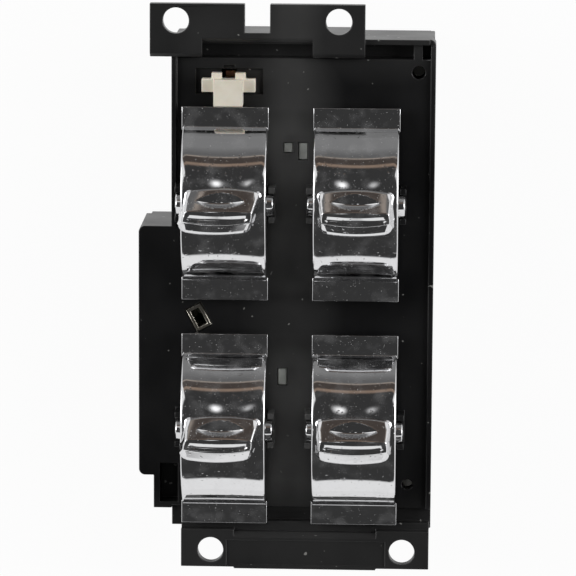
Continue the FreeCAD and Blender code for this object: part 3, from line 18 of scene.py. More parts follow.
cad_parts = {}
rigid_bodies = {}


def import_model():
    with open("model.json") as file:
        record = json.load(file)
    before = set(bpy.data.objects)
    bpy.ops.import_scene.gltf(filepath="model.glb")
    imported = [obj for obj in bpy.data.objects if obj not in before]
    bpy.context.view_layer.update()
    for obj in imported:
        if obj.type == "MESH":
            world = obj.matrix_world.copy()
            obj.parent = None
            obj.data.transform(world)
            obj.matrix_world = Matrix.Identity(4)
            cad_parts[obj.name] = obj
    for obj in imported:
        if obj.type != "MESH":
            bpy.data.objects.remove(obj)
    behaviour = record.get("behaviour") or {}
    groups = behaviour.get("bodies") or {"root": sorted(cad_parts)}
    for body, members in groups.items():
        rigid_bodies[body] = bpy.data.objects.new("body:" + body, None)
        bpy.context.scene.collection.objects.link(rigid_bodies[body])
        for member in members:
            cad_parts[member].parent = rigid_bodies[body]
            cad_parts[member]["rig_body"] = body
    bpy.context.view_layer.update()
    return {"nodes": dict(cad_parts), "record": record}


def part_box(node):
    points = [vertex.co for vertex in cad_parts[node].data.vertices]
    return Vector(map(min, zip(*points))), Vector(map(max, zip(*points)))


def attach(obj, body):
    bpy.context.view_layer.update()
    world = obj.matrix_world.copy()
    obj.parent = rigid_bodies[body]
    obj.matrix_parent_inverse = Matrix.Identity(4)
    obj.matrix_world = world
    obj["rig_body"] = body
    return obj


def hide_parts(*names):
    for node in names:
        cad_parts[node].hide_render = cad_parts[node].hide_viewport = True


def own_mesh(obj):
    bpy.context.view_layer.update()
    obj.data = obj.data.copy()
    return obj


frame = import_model()
MM = 0.001
scene = bpy.context.scene

# %% [markdown]
# ## Camera
#
# The module lies on its back and the camera looks down on it from about 0.9 m, tilted a
# little towards the upper lugs. A camera can be placed by trying angles until the picture
# fits, or worked out from the straight edges that the picture shows. It was worked out
# here, because the fit then holds for every edge at once, also for the side walls.

# %% Camera at the photograph's viewing angle
camera = bpy.data.objects.new("camera", bpy.data.cameras.new("camera"))
scene.collection.objects.link(camera)
camera.data.sensor_width = 36.0
camera.data.lens = 240.73
camera.data.clip_start, camera.data.clip_end = 0.05, 20.0
to_right = Vector((0.9992, 0.0055, -0.0388)).normalized()
to_back = Vector((0.0371, 0.1831, 0.9824)).normalized()
to_up = to_back.cross(to_right).normalized()
to_right = to_up.cross(to_back)
camera.matrix_world = Matrix((to_right, to_up, to_back)).transposed().to_4x4()
camera.location = Vector((32.64, 158.67, 877.91)) * MM
scene.camera = camera
scene.view_settings.view_transform = "Standard"
print("camera height above the back face in mm:", round(camera.location.z / MM, 1))

# %% [markdown]
# ## Node helpers
#
# Every finish below is a small network of nodes round one Principled shader. The helpers
# add a node with its settings in one line, so that each material reads as a list of what
# it is made of. All patterns start from Object coordinates, which are metres here, so a
# scale of 1000 means a pattern one millimetre wide.

# %% Helpers for materials
def new_material(name, color, roughness, metallic=0.0):
    """A material with one Principled shader; returns it, its tree and the shader."""
    material = bpy.data.materials.new(name)
    material.use_nodes = True
    tree = material.node_tree
    shader = tree.nodes["Principled BSDF"]
    shader.inputs["Base Color"].default_value = (*color, 1.0)
    shader.inputs["Roughness"].default_value = roughness
    shader.inputs["Metallic"].default_value = metallic
    return material, tree, shader


def add(tree, kind, links=(), **settings):
    """Adds a node. Settings name its own properties, links pair an input with a socket."""
    node = tree.nodes.new(kind)
    for key, value in settings.items():
        setattr(node, key, value)
    for socket, source in dict(links).items():
        if isinstance(source, bpy.types.NodeSocket):
            tree.links.new(source, node.inputs[socket])
        else:
            node.inputs[socket].default_value = source
    return node


def noise(tree, scale, detail=2.0, stretch=(1.0, 1.0, 1.0)):
    """Noise in object space; stretch multiplies the scale along each axis."""
    place = add(tree, "ShaderNodeTexCoord")
    mapping = add(tree, "ShaderNodeMapping", {"Vector": place.outputs["Object"], "Scale": stretch})
    texture = add(tree, "ShaderNodeTexNoise", {"Vector": mapping.outputs["Vector"],
                                               "Scale": scale, "Detail": detail})
    return texture.outputs["Fac"]


def to_range(tree, value, low, high, new_low, new_high):
    """Maps a value from one range to another and keeps it inside."""
    node = add(tree, "ShaderNodeMapRange", {"Value": value, "From Min": low, "From Max": high,
                                            "To Min": new_low, "To Max": new_high})
    return node.outputs["Result"]


def mix_color(tree, factor, first, second):
    """Blends two colours or sockets by a factor."""
    node = add(tree, "ShaderNodeMix", data_type="RGBA")
    for index, value in ((0, factor), (6, first), (7, second)):
        if isinstance(value, bpy.types.NodeSocket):
            tree.links.new(value, node.inputs[index])
        else:
            node.inputs[index].default_value = value if index == 0 else (*value, 1.0)
    return node.outputs[2]


def add_bump(tree, shader, height, distance, strength=1.0, below=None):
    """Bump of a given depth in metres, on top of an earlier one if there is one."""
    links = {"Height": height, "Distance": distance, "Strength": strength}
    if below is not None:
        links["Normal"] = below
    node = add(tree, "ShaderNodeBump", links)
    tree.links.new(node.outputs["Normal"], shader.inputs["Normal"])
    return node.outputs["Normal"]


print("helpers ready")

# %% [markdown]
# ## Black moulded plastic
#
# The housing is black filled plastic, satin where the mould was polished and a little
# uneven in gloss. A flat black would swallow the form, so the gloss varies slowly, a fine
# grain breaks up the highlights, and a few pale specks of dust lie on it, as they do on
# the real one. A lighter grey is painted between the keys and on the lugs as a painted
# sheen, standing in for a broad satin highlight. It is painted darker in the gap between
# the two rows of keys as painted shade.

# %% Black plastic
black_plastic, tree, shader = new_material("black_plastic", (0.010, 0.010, 0.011), 0.36)
KEYS_MIDDLE_X = 0.0011  # the line midway between left and right keys, in metres
KEYS_GAP_Y = 0.006  # how far the gap between the two rows lies below the origin
clouds = noise(tree, 60.0, 3.0)
grain = noise(tree, 4200.0, 2.0)
dust = noise(tree, 700.0, 1.0)
specks = to_range(tree, dust, 0.755, 0.79, 0.0, 1.0)
toned = mix_color(tree, to_range(tree, clouds, 0.3, 0.7, 0.0, 1.0),
                  (0.004, 0.004, 0.0044), (0.007, 0.007, 0.0074))
place = add(tree, "ShaderNodeTexCoord")
parts = add(tree, "ShaderNodeSeparateXYZ", {"Vector": place.outputs["Object"]})
off_middle = add(tree, "ShaderNodeMath", {0: parts.outputs["X"], 1: KEYS_MIDDLE_X},
                 operation="SUBTRACT")
off_middle = add(tree, "ShaderNodeMath", {0: off_middle.outputs[0]}, operation="ABSOLUTE")
# Painted sheen: the base colour is made lighter between the keys and on the lug ends, standing in
# for a broad satin highlight.
between = to_range(tree, off_middle.outputs[0], 0.002, 0.012, 1.0, 0.0)
to_end = add(tree, "ShaderNodeMath", {0: parts.outputs["Y"]}, operation="ABSOLUTE")
at_ends = to_range(tree, to_end.outputs[0], 0.046, 0.054, 0.0, 0.14)
toward_slide = to_range(tree, parts.outputs["Y"], 0.028, 0.042, 1.0, 0.3)
toward_lugs = to_range(tree, parts.outputs["Y"], -0.052, -0.044, 0.1, 1.0)
in_front = to_range(tree, parts.outputs["Z"], 0.018, 0.024, 0.0, 1.0)
# Painted shade: that painted sheen is dimmed in the gap between the two rows of keys, where the
# keys shade the housing.
from_gap = add(tree, "ShaderNodeMath", {0: parts.outputs["Y"], 1: KEYS_GAP_Y}, operation="ADD")
from_gap = add(tree, "ShaderNodeMath", {0: from_gap.outputs[0]}, operation="ABSOLUTE")
painted_gap_shade = to_range(tree, from_gap.outputs[0], 0.004, 0.018, 0.2, 1.0)
for limit in (toward_slide, toward_lugs, in_front, painted_gap_shade):
    between = add(tree, "ShaderNodeMath", {0: between, 1: limit}, operation="MULTIPLY").outputs[0]
painted_sheen = add(tree, "ShaderNodeMath", {0: between, 1: at_ends}, operation="MAXIMUM")
cloudy = to_range(tree, noise(tree, 45.0, 4.0), 0.25, 0.65, 0.5, 1.0)
painted_sheen = add(tree, "ShaderNodeMath", {0: painted_sheen.outputs[0], 1: cloudy}, operation="MULTIPLY")
toned = mix_color(tree, painted_sheen.outputs[0], toned, (0.14, 0.14, 0.137))
tree.links.new(mix_color(tree, specks, toned, (0.22, 0.22, 0.21)), shader.inputs["Base Color"])
tree.links.new(to_range(tree, clouds, 0.3, 0.7, 0.30, 0.42), shader.inputs["Roughness"])
add_bump(tree, shader, grain, 0.00001, 0.5)
shader.inputs["Specular IOR Level"].default_value = 0.4
print("made", black_plastic.name)

# %% [markdown]
# ## Bright plating
#
# The keys are plastic with a bright metal plating. Plating is a mirror, so most of what
# shows in it is the room: its colour hardly matters, its smoothness does. The shader is
# metal with a low roughness. A slow waviness of a few thousandths of a millimetre bends
# the reflections as plated plastic does, small raised specks stand for dust under the
# plating, and loose dust and faint smears dull it a little: there the surface is less
# metallic.

# %% Plating
chrome, tree, shader = new_material("chrome", (0.70, 0.70, 0.71), 0.05, 1.0)
waves = noise(tree, 180.0, 1.5)
nibs = noise(tree, 1500.0, 0.0)
nib_height = to_range(tree, nibs, 0.74, 0.82, 0.0, 1.0)
tree.links.new(to_range(tree, noise(tree, 500.0, 3.0), 0.35, 0.75, 0.03, 0.10),
               shader.inputs["Roughness"])
dust = to_range(tree, noise(tree, 4200.0, 0.0), 0.80, 0.85, 0.0, 0.7)
smears = to_range(tree, noise(tree, 260.0, 5.0), 0.50, 0.75, 0.0, 0.10)
veil = add(tree, "ShaderNodeMath", {0: dust, 1: smears}, operation="MAXIMUM").outputs[0]
tree.links.new(to_range(tree, veil, 0.0, 1.0, 1.0, 0.0), shader.inputs["Metallic"])
tree.links.new(mix_color(tree, dust, (0.70, 0.70, 0.71), (0.55, 0.55, 0.54)),
               shader.inputs["Base Color"])
wavy = add_bump(tree, shader, waves, 0.00003, 0.35)
add_bump(tree, shader, nib_height, 0.00002, 0.6, wavy)
print("made", chrome.name)

# %% [markdown]
# ## The other finishes
#
# The remaining parts are ivory and natural plastic, clear light pipes, metal contacts and
# the circuit board. Each gets its own slow change of tone and of gloss. They differ only
# in colours and numbers, so one function makes them all from a table.

# %% Other finishes
FINISHES = {
    # name: (colour, second colour, roughness, metallic, pattern scale, bump in metres)
    "ivory_plastic": ((0.84, 0.79, 0.68), (0.79, 0.73, 0.61), 0.34, 0.0, 300.0, 0.000004),
    "natural_nylon": ((0.74, 0.73, 0.68), (0.66, 0.65, 0.60), 0.45, 0.0, 500.0, 0.000006),
    "light_pipe": ((0.62, 0.64, 0.60), (0.50, 0.52, 0.49), 0.22, 0.0, 400.0, 0.000004),
    "board": ((0.03, 0.13, 0.06), (0.02, 0.10, 0.045), 0.35, 0.0, 900.0, 0.000004),
    "sleeve_metal": ((0.62, 0.59, 0.52), (0.42, 0.39, 0.33), 0.24, 1.0, 700.0, 0.000004),
    "tinned_brass": ((0.66, 0.64, 0.58), (0.55, 0.51, 0.42), 0.28, 1.0, 900.0, 0.000003),
    "contact_silver": ((0.82, 0.81, 0.79), (0.66, 0.64, 0.60), 0.22, 1.0, 1200.0, 0.000002),
    "copper": ((0.78, 0.42, 0.27), (0.62, 0.32, 0.20), 0.26, 1.0, 800.0, 0.000003),
    "spring_steel": ((0.52, 0.52, 0.53), (0.38, 0.38, 0.39), 0.24, 1.0, 1500.0, 0.000002),
    "zinc_steel": ((0.62, 0.63, 0.65), (0.50, 0.51, 0.53), 0.30, 1.0, 900.0, 0.000003),
}
finishes = {"black_plastic": black_plastic, "chrome": chrome}
for name, (color, second, roughness, metallic, scale, depth) in FINISHES.items():
    finish, tree, shader = new_material(name, color, roughness, metallic)
    cloud = noise(tree, scale, 3.0)
    tone = mix_color(tree, to_range(tree, cloud, 0.35, 0.65, 0.0, 1.0), color, second)
    tree.links.new(tone, shader.inputs["Base Color"])
    tree.links.new(to_range(tree, cloud, 0.3, 0.7, roughness * 0.85, roughness * 1.2),
                   shader.inputs["Roughness"])
    add_bump(tree, shader, noise(tree, scale * 4.0, 2.0), depth, 0.6)
    finishes[name] = finish
for name, socket, value in (("light_pipe", "Coat Weight", 0.4),
                            ("ivory_plastic", "Subsurface Weight", 0.15),
                            ("ivory_plastic", "Subsurface Scale", 0.0006)):
    shader = finishes[name].node_tree.nodes["Principled BSDF"]
    shader.inputs[socket].default_value = value
print("finishes:", ", ".join(sorted(finishes)))

# %% Every construction node gets its finish
slot_of = {}
for part in frame["record"]["subparts"]:
    slot_of[part["node"]] = part["material_slot"]
for node, piece in frame["nodes"].items():
    piece.data.materials.clear()
    piece.data.materials.append(finishes[slot_of[node]])
print("nodes with a finish:", len(slot_of))

# %% [markdown]
# ## Edges that catch the light
#
# No moulded edge is sharp. A rounding of a tenth or two of a millimetre draws the thin
# bright line that shows where one face ends. The construction mesh keeps sharp edges and
# is never changed, so each moulding is shown by a copy: its loose triangles are merged,
# flat areas are joined to whole faces, and a Bevel modifier rounds the edges that carry a
# weight. All sharp edges do, except those round the slot of the lockout slide: a rounding
# in its corners would add material where the slide's leg moves.

# %% A rounded copy of a construction node
WELD = 0.002 * MM
FLAT = math.radians(0.4)
SHARP = math.radians(30.0)


def link_piece(name, mesh, body, slot, replaced=()):
    """Puts a finished mesh on its body, with its finish and the nodes it stands for."""
    piece = bpy.data.objects.new(name, mesh)
    scene.collection.objects.link(piece)
    if not mesh.materials:
        mesh.materials.append(finishes[slot])
    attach(piece, body)
    if replaced:
        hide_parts(*replaced)
    return piece


def rounded_copy(node, width, segments, crisp):
    """A copy of a node with merged faces and rounded edges, shown in its place. Edges
    inside the box crisp, a pair of corners, keep their sharpness."""
    name = node + "_shown"
    source = frame["nodes"][node]
    mesh = source.data.copy()
    mesh.name = name
    work = bmesh.new()
    work.from_mesh(mesh)
    bmesh.ops.remove_doubles(work, verts=work.verts, dist=WELD)
    bmesh.ops.dissolve_limit(work, angle_limit=FLAT, verts=work.verts, edges=work.edges)
    for face in work.faces:
        face.smooth = True
    weight = work.edges.layers.float.new("bevel_weight_edge")
    for edge in work.edges:
        kept = crisp and all(crisp[0][k] < v.co[k] < crisp[1][k]
                             for v in edge.verts for k in range(3))
        if len(edge.link_faces) == 2 and not kept:
            edge[weight] = float(edge.calc_face_angle() > SHARP)
    work.to_mesh(mesh)
    work.free()
    mesh.set_sharp_from_angle(angle=SHARP)
    piece = link_piece(name, mesh, source["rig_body"], slot_of[node], [node])
    bevel = piece.modifiers.new("rounded", "BEVEL")
    bevel.width = width
    bevel.segments = segments
    bevel.limit_method = "WEIGHT"
    bevel.use_clamp_overlap = False
    flat = piece.modifiers.new("flat_faces", "WEIGHTED_NORMAL")
    flat.keep_sharp = True
    flat.weight = 100


slide_low, slide_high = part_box("lock_slide")
around_slot = (Vector((slide_low.x - 2 * MM, slide_low.y - 3 * MM, slide_low.z - 2 * MM)),
               Vector((slide_high.x + 2 * MM, slide_high.y + 5 * MM, 26.4 * MM)))
ROUNDED = (
    # node, rounding in millimetres, segments, box whose edges stay sharp
    ("front_housing", 0.16, 2, around_slot), ("rear_case", 0.2, 2, None),
    ("lock_slide", 0.22, 3, None), ("lamp_sleeve", 0.1, 2, None),
    ("contact_frame", 0.08, 2, None), ("upper_light_pipe", 0.08, 2, None),
    ("lower_light_pipe", 0.08, 2, None),
)
for node, width, segments, crisp in ROUNDED:
    rounded_copy(node, width * MM, segments, crisp)

# %% [markdown]
# ## The plated keys
#
# A key is one moulding: a flat flange at each end, an arch between them that ends in a
# hollow rounding, a hinge pin on each side and a finger pull on top. In a mirror finish
# the facets of a triangle mesh would show at once, so the keys are built again from their
# own curves. The side view is drawn as one line with true arcs, and that line is carried
# across the key with a rounded edge at each side. A Solidify modifier would do for a thin
# shell, but the walls are written out, so that the lower edges stay level.

# %% The side view of the arch
KEY = {
    # millimetres from the hinge line; the pins' flat leans by an angle in degrees
    "half_length": 21.8, "half_flange": 9.675, "half_arch": 9.45, "radius": 20.5,
    "face": -1.0, "rise": 9.5, "foot": 0.45, "flange": 1.2, "wall": 1.3, "edge": 0.32,
    "crown": 0.62, "pin": 2.6, "pin_flat": 2.05, "pin_flat_lean": -42.0, "pin_reach": 1.5,
    "pin_root": 0.6, "flange_root": 16.6, "flange_edge": 0.15,
    "stem_half_width": 2.5, "stem_half_length": 3.0, "stem_reach": 11.4, "stem_top": 6.9,
    "stem_edge": 0.2,
}


def limited(value):
    """The value, kept between 0 and 1."""
    return min(1.0, max(0.0, value))


def arc(center, radius, start, end, count):
    """Points and outward normals along an arc; angles in degrees from straight up."""
    points = []
    for step in range(count + 1):
        angle = math.radians(start + (end - start) * step / count)
        out = Vector((math.sin(angle), math.cos(angle)))
        points.append((Vector(center) + radius * out, out))
    return points


def arch_line():
    """Side view of arch and feet from the lower end to the upper one, as (point, normal)."""
    middle = KEY["face"] + KEY["rise"] - KEY["radius"]
    foot_up = KEY["face"] + KEY["foot"]
    reach = KEY["radius"] + KEY["foot"]
    foot_along = math.sqrt(reach ** 2 - (foot_up - middle) ** 2)
    lean = math.degrees(math.atan2(foot_along, foot_up - middle))
    lower = [(p, -n) for p, n in arc((-foot_along, foot_up), KEY["foot"], 180.0, 180.0 - lean, 10)]
    upper = [(p, -n) for p, n in arc((foot_along, foot_up), KEY["foot"], 180.0 + lean, 180.0, 10)]
    over = arc((0.0, middle), KEY["radius"], -lean, lean, 84)
    return lower + over[1:-1] + upper


print("points along the arch:", len(arch_line()))

# %% Sheets and blocks in mesh code
def grid_faces(work, rows, closed=False):
    """Joins rows of vertices into quads."""
    for first, second in zip(rows, rows[1:]):
        count = len(first)
        for index in range(count if closed else count - 1):
            following = (index + 1) % count
            work.faces.new((first[index], first[following], second[following], second[index]))


def smooth_mesh(work, name):
    """Turns mesh code into a mesh with smooth shading."""
    for face in work.faces:
        face.smooth = True
    mesh = bpy.data.meshes.new(name)
    work.to_mesh(mesh)
    work.free()
    return mesh


def add_block(work, low, high, edge, segments=3):
    """A rounded block between two corners, in millimetres."""
    low, high = Vector(low), Vector(high)
    made = bmesh.ops.create_cube(work, size=1.0, matrix=Matrix.LocRotScale(
        (low + high) / 2, None, high - low))
    edges = {e for v in made["verts"] for e in v.link_edges}
    bmesh.ops.bevel(work, geom=list(edges), offset=edge, segments=segments, profile=0.5,
                    affect="EDGES")


def add_pin(work, center, radius, start, end, taper=0.22, edge=0.45, sides=48):
    """A pin along X from the body outwards, slightly tapered, with a rounded end."""
    away = 1 if end > start else -1
    stations = [(start, radius)]
    for step in range(7):
        angle = math.pi / 2 * step / 6
        stations.append((end - away * edge * (1 - math.sin(angle)),
                         radius - taper - edge * (1 - math.cos(angle))))
    lean = math.radians(KEY["pin_flat_lean"])
    rows = []
    for along, around in stations:
        row = []
        for turn in (2 * math.pi * k / sides for k in range(sides)):
            facing = math.cos(turn - lean)
            flat = around * KEY["pin_flat"] / radius
            reach = min(around, flat / facing) if facing > 0.1 else around
            row.append(work.verts.new((along, center[0] + reach * math.sin(turn),
                                       center[1] + reach * math.cos(turn))))
        rows.append(row)
    grid_faces(work, rows, closed=True)
    work.faces.new(rows[0])
    work.faces.new(rows[-1])


print("mesh helpers ready")

# %% The arch with its walls
def add_arch(work):
    """The arched body: outer skin with rounded long edges, inner skin and lower rims."""
    line = arch_line()
    half, edge, wall = KEY["half_arch"], KEY["edge"], KEY["wall"]
    low = KEY["face"] - KEY["flange"]
    steps, cells = 5, 20
    across = [-(half - edge) + 2 * (half - edge) * k / cells for k in range(cells + 1)]
    rows_out, rows_in = [], []
    for point, normal in line:
        inner = point - wall * normal
        row = [(-half, point[0], low)]
        for step in range(steps, 0, -1):
            angle = math.pi / 2 * step / steps
            drop = edge * (1 - math.cos(angle))
            along = point - drop * normal
            row.append((-(half - edge) - edge * math.sin(angle), along[0], along[1]))
        share = limited((point[1] - KEY["face"]) / KEY["rise"])
        crown = KEY["crown"] * share * share
        row = [row[0]] + [(x, y, z - crown) for x, y, z in row[1:]]
        for x in across:
            drop = crown * (x / half) ** 2
            row.append((x, point[0], point[1] - drop))
        row += [(-x, y, z) for x, y, z in reversed(row[:steps + 1])]
        rows_out.append([work.verts.new(p) for p in row])
        level = max(inner[1], low)
        rows_in.append([work.verts.new(p) for p in (
            (-half + wall, point[0], low), (-half + wall, inner[0], level),
            (half - wall, inner[0], level), (half - wall, point[0], low))])
    grid_faces(work, rows_out)
    grid_faces(work, rows_in)
    for outer, inner in ((0, 0), (-1, -1)):
        grid_faces(work, [[row[outer] for row in rows_out], [row[inner] for row in rows_in]])
    for end in (0, -1):
        work.faces.new(rows_out[end] + list(reversed(rows_in[end])))


print("arch rows:", len(arch_line()))

# %% [markdown]
# The pull is a block with a sloped deck for the thumb, a ridge, a scooped front and a lip
# to hook a fingertip under. Its side view is one closed line. Every corner of that line
# is replaced by an arc of its own radius, and the line is then carried across the key,
# narrowing with height. Near both ends it shrinks towards its middle along a quarter
# circle, which rounds all the side edges in one go. The thumb dish is pressed into the
# deck by moving its points down inside an eye-shaped outline. It is deepest near the
# ridge, where the finger pushes.

# %% The finger pull
PULL = [
    # along, up, corner radius, all in millimetres from the hinge line
    (4.7, 5.6, 0.0), (4.7, 9.3, 0.3), (0.0, 12.35, 0.8), (-1.55, 11.46, 0.7),
    (-2.6, 11.9, 0.08), (-2.8, 11.65, 0.1), (-4.4, 10.76, 0.8), (-5.05, 10.27, 0.5),
    (-5.05, 8.2, 0.6), (-2.4, 8.25, 0.5), (-2.4, 5.6, 0.0),
]


def rounded_line(corners, steps=7, spacing=0.22):
    """A closed line through corners, each replaced by an arc, with evenly spaced runs."""
    count = len(corners)
    out = []
    for index in range(count):
        here = Vector(corners[index][:2])
        before = Vector(corners[index - 1][:2]) - here
        after = Vector(corners[(index + 1) % count][:2]) - here
        radius = corners[index][2]
        if radius <= 0:
            out.append([here])
            continue
        half = before.angle(after) / 2
        back = min(radius / math.tan(half), before.length * 0.48, after.length * 0.48)
        radius = back * math.tan(half)
        center = here + (before.normalized() + after.normalized()).normalized() * (
            radius / math.sin(half))
        start = here + before.normalized() * back - center
        end = here + after.normalized() * back - center
        sweep = start.angle_signed(end)
        turn = [Matrix.Rotation(-sweep * k / steps, 2) for k in range(steps + 1)]
        out.append([center + (m @ start) for m in turn])
    line = []
    for index in range(count):
        line += out[index]
        gap = out[(index + 1) % count][0] - out[index][-1]
        pieces = int(gap.length / spacing)
        line += [out[index][-1] + gap * k / (pieces + 1) for k in range(1, pieces + 1)]
    return line


print("points round the pull:", len(rounded_line(PULL)))

# %% Pull mesh
SIDES = {"low": 7.3, "high": 13.0, "half_low": 8.6, "half_high": 7.35}
DISH = {"place": 0.48, "half_length": 5.4, "half_width": 1.75, "depth": 1.15, "skew": 0.4}
SCOOP = {"start": -0.35, "level": 12.1, "floor": 10.8}
BACK, LEAN_SPAN = 4.7, 9.7
RUNS, TURNS = 84, 6


def pull_half_width(up):
    """Half the width of the pull at a height above the hinge line."""
    share = limited((up - SIDES["low"]) / (SIDES["high"] - SIDES["low"]))
    return SIDES["half_low"] + (SIDES["half_high"] - SIDES["half_low"]) * share


def add_pull(work, lean):
    """The finger pull; lean is how far its lip stands to the side, in millimetres."""
    line = rounded_line(PULL)
    count = len(line)
    normals = []
    for index in range(count):
        run = line[(index + 1) % count] - line[index - 1]
        normals.append(Vector((-run[1], run[0])).normalized())
    middle = sum(line, Vector((0.0, 0.0))) / count
    if sum((p - middle).dot(n) for p, n in zip(line, normals)) < 0:
        normals = [-n for n in normals]
    deck_low, deck_high = Vector(PULL[1][:2]), Vector(PULL[2][:2])
    slope = (deck_high - deck_low).normalized()
    dish_at = deck_low.lerp(deck_high, DISH["place"])
    # a station is a kind of section, its angle or place across the key, and its side
    turns = [math.pi / 2 * (1 - step / TURNS) for step in range(TURNS + 1)]
    stations = [("edge", turn, -1) for turn in turns]
    stations += [("run", -1 + 2 * k / RUNS, 0) for k in range(1, RUNS)]
    stations += [("edge", turn, 1) for turn in reversed(turns)]
    rows = []
    for kind, value, side in stations:
        row = []
        for point, normal in zip(line, normals):
            front = limited((-point[0] - 2.9) / 2.0)
            back = limited((point[0] - 3.0) / 1.7)
            reach = 0.45 + 0.95 * max(front, 0.5 * back)
            half = pull_half_width(point[1])
            if PULL[4][0] < point[0] < SCOOP["start"] and point[1] > SCOOP["floor"]:
                # the scoop fades out towards both sides of the key
                along = (point[0] - SCOOP["start"]) / (PULL[4][0] - SCOOP["start"])
                level = SCOOP["level"] + (PULL[4][1] - SCOOP["level"]) * along
                away = 1.0 if kind == "edge" else limited((abs(value) - 0.82) / 0.18)
                away = away * away * (3 - 2 * away)
                point = Vector((point[0], point[1] + (level - point[1]) * away))
            if kind == "edge":
                turn = 1 - math.cos(value)
                spot = point - normal * (0.4 - 0.1 * front) * turn
                spot[0] += (1.1 * front - 0.7 * back) * turn
                x = side * (half - reach + reach * math.sin(value))
            else:
                x = value * (half - reach)
                spot = point.copy()
                spot += normal * 0.28 * (1 - (x / half) ** 2) * limited(point[1] - 7.0)
                lens = 1 - (x / DISH["half_length"]) ** 2
                upward = normal.dot(Vector((-slope[1], slope[0]))) ** 2
                if lens > 0.01 and upward > 0.95 and point[0] > 0.0:
                    place = (point - dish_at).dot(slope) / (DISH["half_width"] * lens)
                    if abs(place) < 1.0:
                        hollow = (1 - place ** 2) * (1 + DISH["skew"] * place)
                        spot -= normal * DISH["depth"] * lens * hollow
            # seen from the front, the back edge and the lip are bowed and the lip may lean
            bow = 1 - (x / half) ** 2
            spot[0] += 0.6 * limited(point[0] / BACK) * (bow - 0.7)
            spot[0] -= 0.6 * limited((-point[0] - 0.3) / 2.2) * (bow - 1.1)
            x += lean * limited((BACK - point[0]) / LEAN_SPAN)
            row.append(work.verts.new((x, spot[0], spot[1])))
        rows.append(row)
    grid_faces(work, rows, closed=True)
    caps = [work.faces.new(rows[0]), work.faces.new(rows[-1])]
    bmesh.ops.inset_individual(work, faces=caps, thickness=0.04)


print("pull deck runs from", PULL[1][:2], "to", PULL[2][:2])

# %% Key mesh
def key_mesh(lean):
    """A whole key round its hinge line, in metres, its pull leaning by some millimetres."""
    work = bmesh.new()
    add_arch(work)
    top, low = KEY["face"], KEY["face"] - KEY["flange"]
    for side in (-1, 1):
        near, far = sorted((side * KEY["flange_root"], side * KEY["half_length"]))
        add_block(work, (-KEY["half_flange"], near, low), (KEY["half_flange"], far, top),
                  KEY["flange_edge"])
        add_pin(work, (0.0, 0.0), KEY["pin"], side * (KEY["half_arch"] - KEY["pin_root"]),
                side * (KEY["half_arch"] + KEY["pin_reach"]))
    add_pull(work, lean)
    across, along = KEY["stem_half_width"], KEY["stem_half_length"]
    add_block(work, (-across, -along, -KEY["stem_reach"]), (across, along, KEY["stem_top"]),
              KEY["stem_edge"])
    bmesh.ops.recalc_face_normals(work, faces=work.faces)
    bmesh.ops.scale(work, vec=(MM, MM, MM), verts=work.verts)
    mesh = smooth_mesh(work, "key_form")
    mesh.set_sharp_from_angle(angle=math.radians(40.0))
    return mesh


print("flange width in mm:", 2 * KEY["half_flange"])

# %% [markdown]
# The pulls of the two left keys lean to the left: their lips stand about 1.5 mm further out
# than their back edges. The mesh code takes that lean as a number, so each key is made
# with its own.

# %% The four keys
KEYS = {"rear_left": -1.7, "rear_right": 0.2, "front_left": -1.4, "front_right": 0.0}
for key, lean in KEYS.items():
    low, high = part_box("key_" + key)
    hinge = Vector(((low.x + high.x) / 2, (low.y + high.y) / 2, low.z + KEY["stem_reach"] * MM))
    mesh = key_mesh(lean)
    mesh.transform(Matrix.Translation(hinge))
    link_piece("key_" + key + "_shown", mesh, "key_" + key, "chrome", ["key_" + key])
print("keys placed:", len(KEYS), "faces in one key:", len(mesh.polygons))

# %% [markdown]
# ## Blades and case screws
#
# Behind, fourteen tinned blades stand in the connector socket and four screws hold the
# case. Both repeat one form on a regular grid, so a Geometry Nodes tree places them: it
# makes the grid, puts the form on each point, turns each copy by its own small amount and
# gives the finish. Copying the form in a loop would work too, but here the counts and
# pitches stay named inputs. The result is turned into a plain mesh at the end, because an
# export doesn't keep instances.

# %% A tree that repeats a form on a grid
def start_tree(name, inputs):
    """A Geometry Nodes tree with named inputs; returns it, their identifiers and sockets."""
    tree = bpy.data.node_groups.new(name, "GeometryNodeTree")
    sockets = {}
    for label, kind in inputs.items():
        made = tree.interface.new_socket(name=label, in_out="INPUT",
                                         socket_type="NodeSocket" + kind)
        sockets[label] = made.identifier
    tree.interface.new_socket(name="Geometry", in_out="OUTPUT", socket_type="NodeSocketGeometry")
    return tree, sockets, tree.nodes.new("NodeGroupInput").outputs


def end_tree(tree, geometry, finish):
    """Ends a tree: makes instances real, gives the finish and links the output."""
    real = add(tree, "GeometryNodeRealizeInstances", {"Geometry": geometry})
    painted = add(tree, "GeometryNodeSetMaterial", {"Geometry": real.outputs["Geometry"],
                                                    "Material": finish})
    out = tree.nodes.new("NodeGroupOutput")
    tree.links.new(painted.outputs["Geometry"], out.inputs["Geometry"])


def run_tree(name, form, tree, sockets, values):
    """The mesh that a tree makes of a form, with its inputs set by their names."""
    carrier = bpy.data.objects.new(name, form)
    scene.collection.objects.link(carrier)
    modifier = carrier.modifiers.new("tree", "NODES")
    modifier.node_group = tree
    for label, value in values.items():
        modifier[sockets[label]] = value
    bpy.context.view_layer.update()
    ready = carrier.evaluated_get(bpy.context.evaluated_depsgraph_get())
    mesh = bpy.data.meshes.new_from_object(ready)
    carrier.modifiers.remove(modifier)
    bpy.data.objects.remove(carrier)
    return mesh


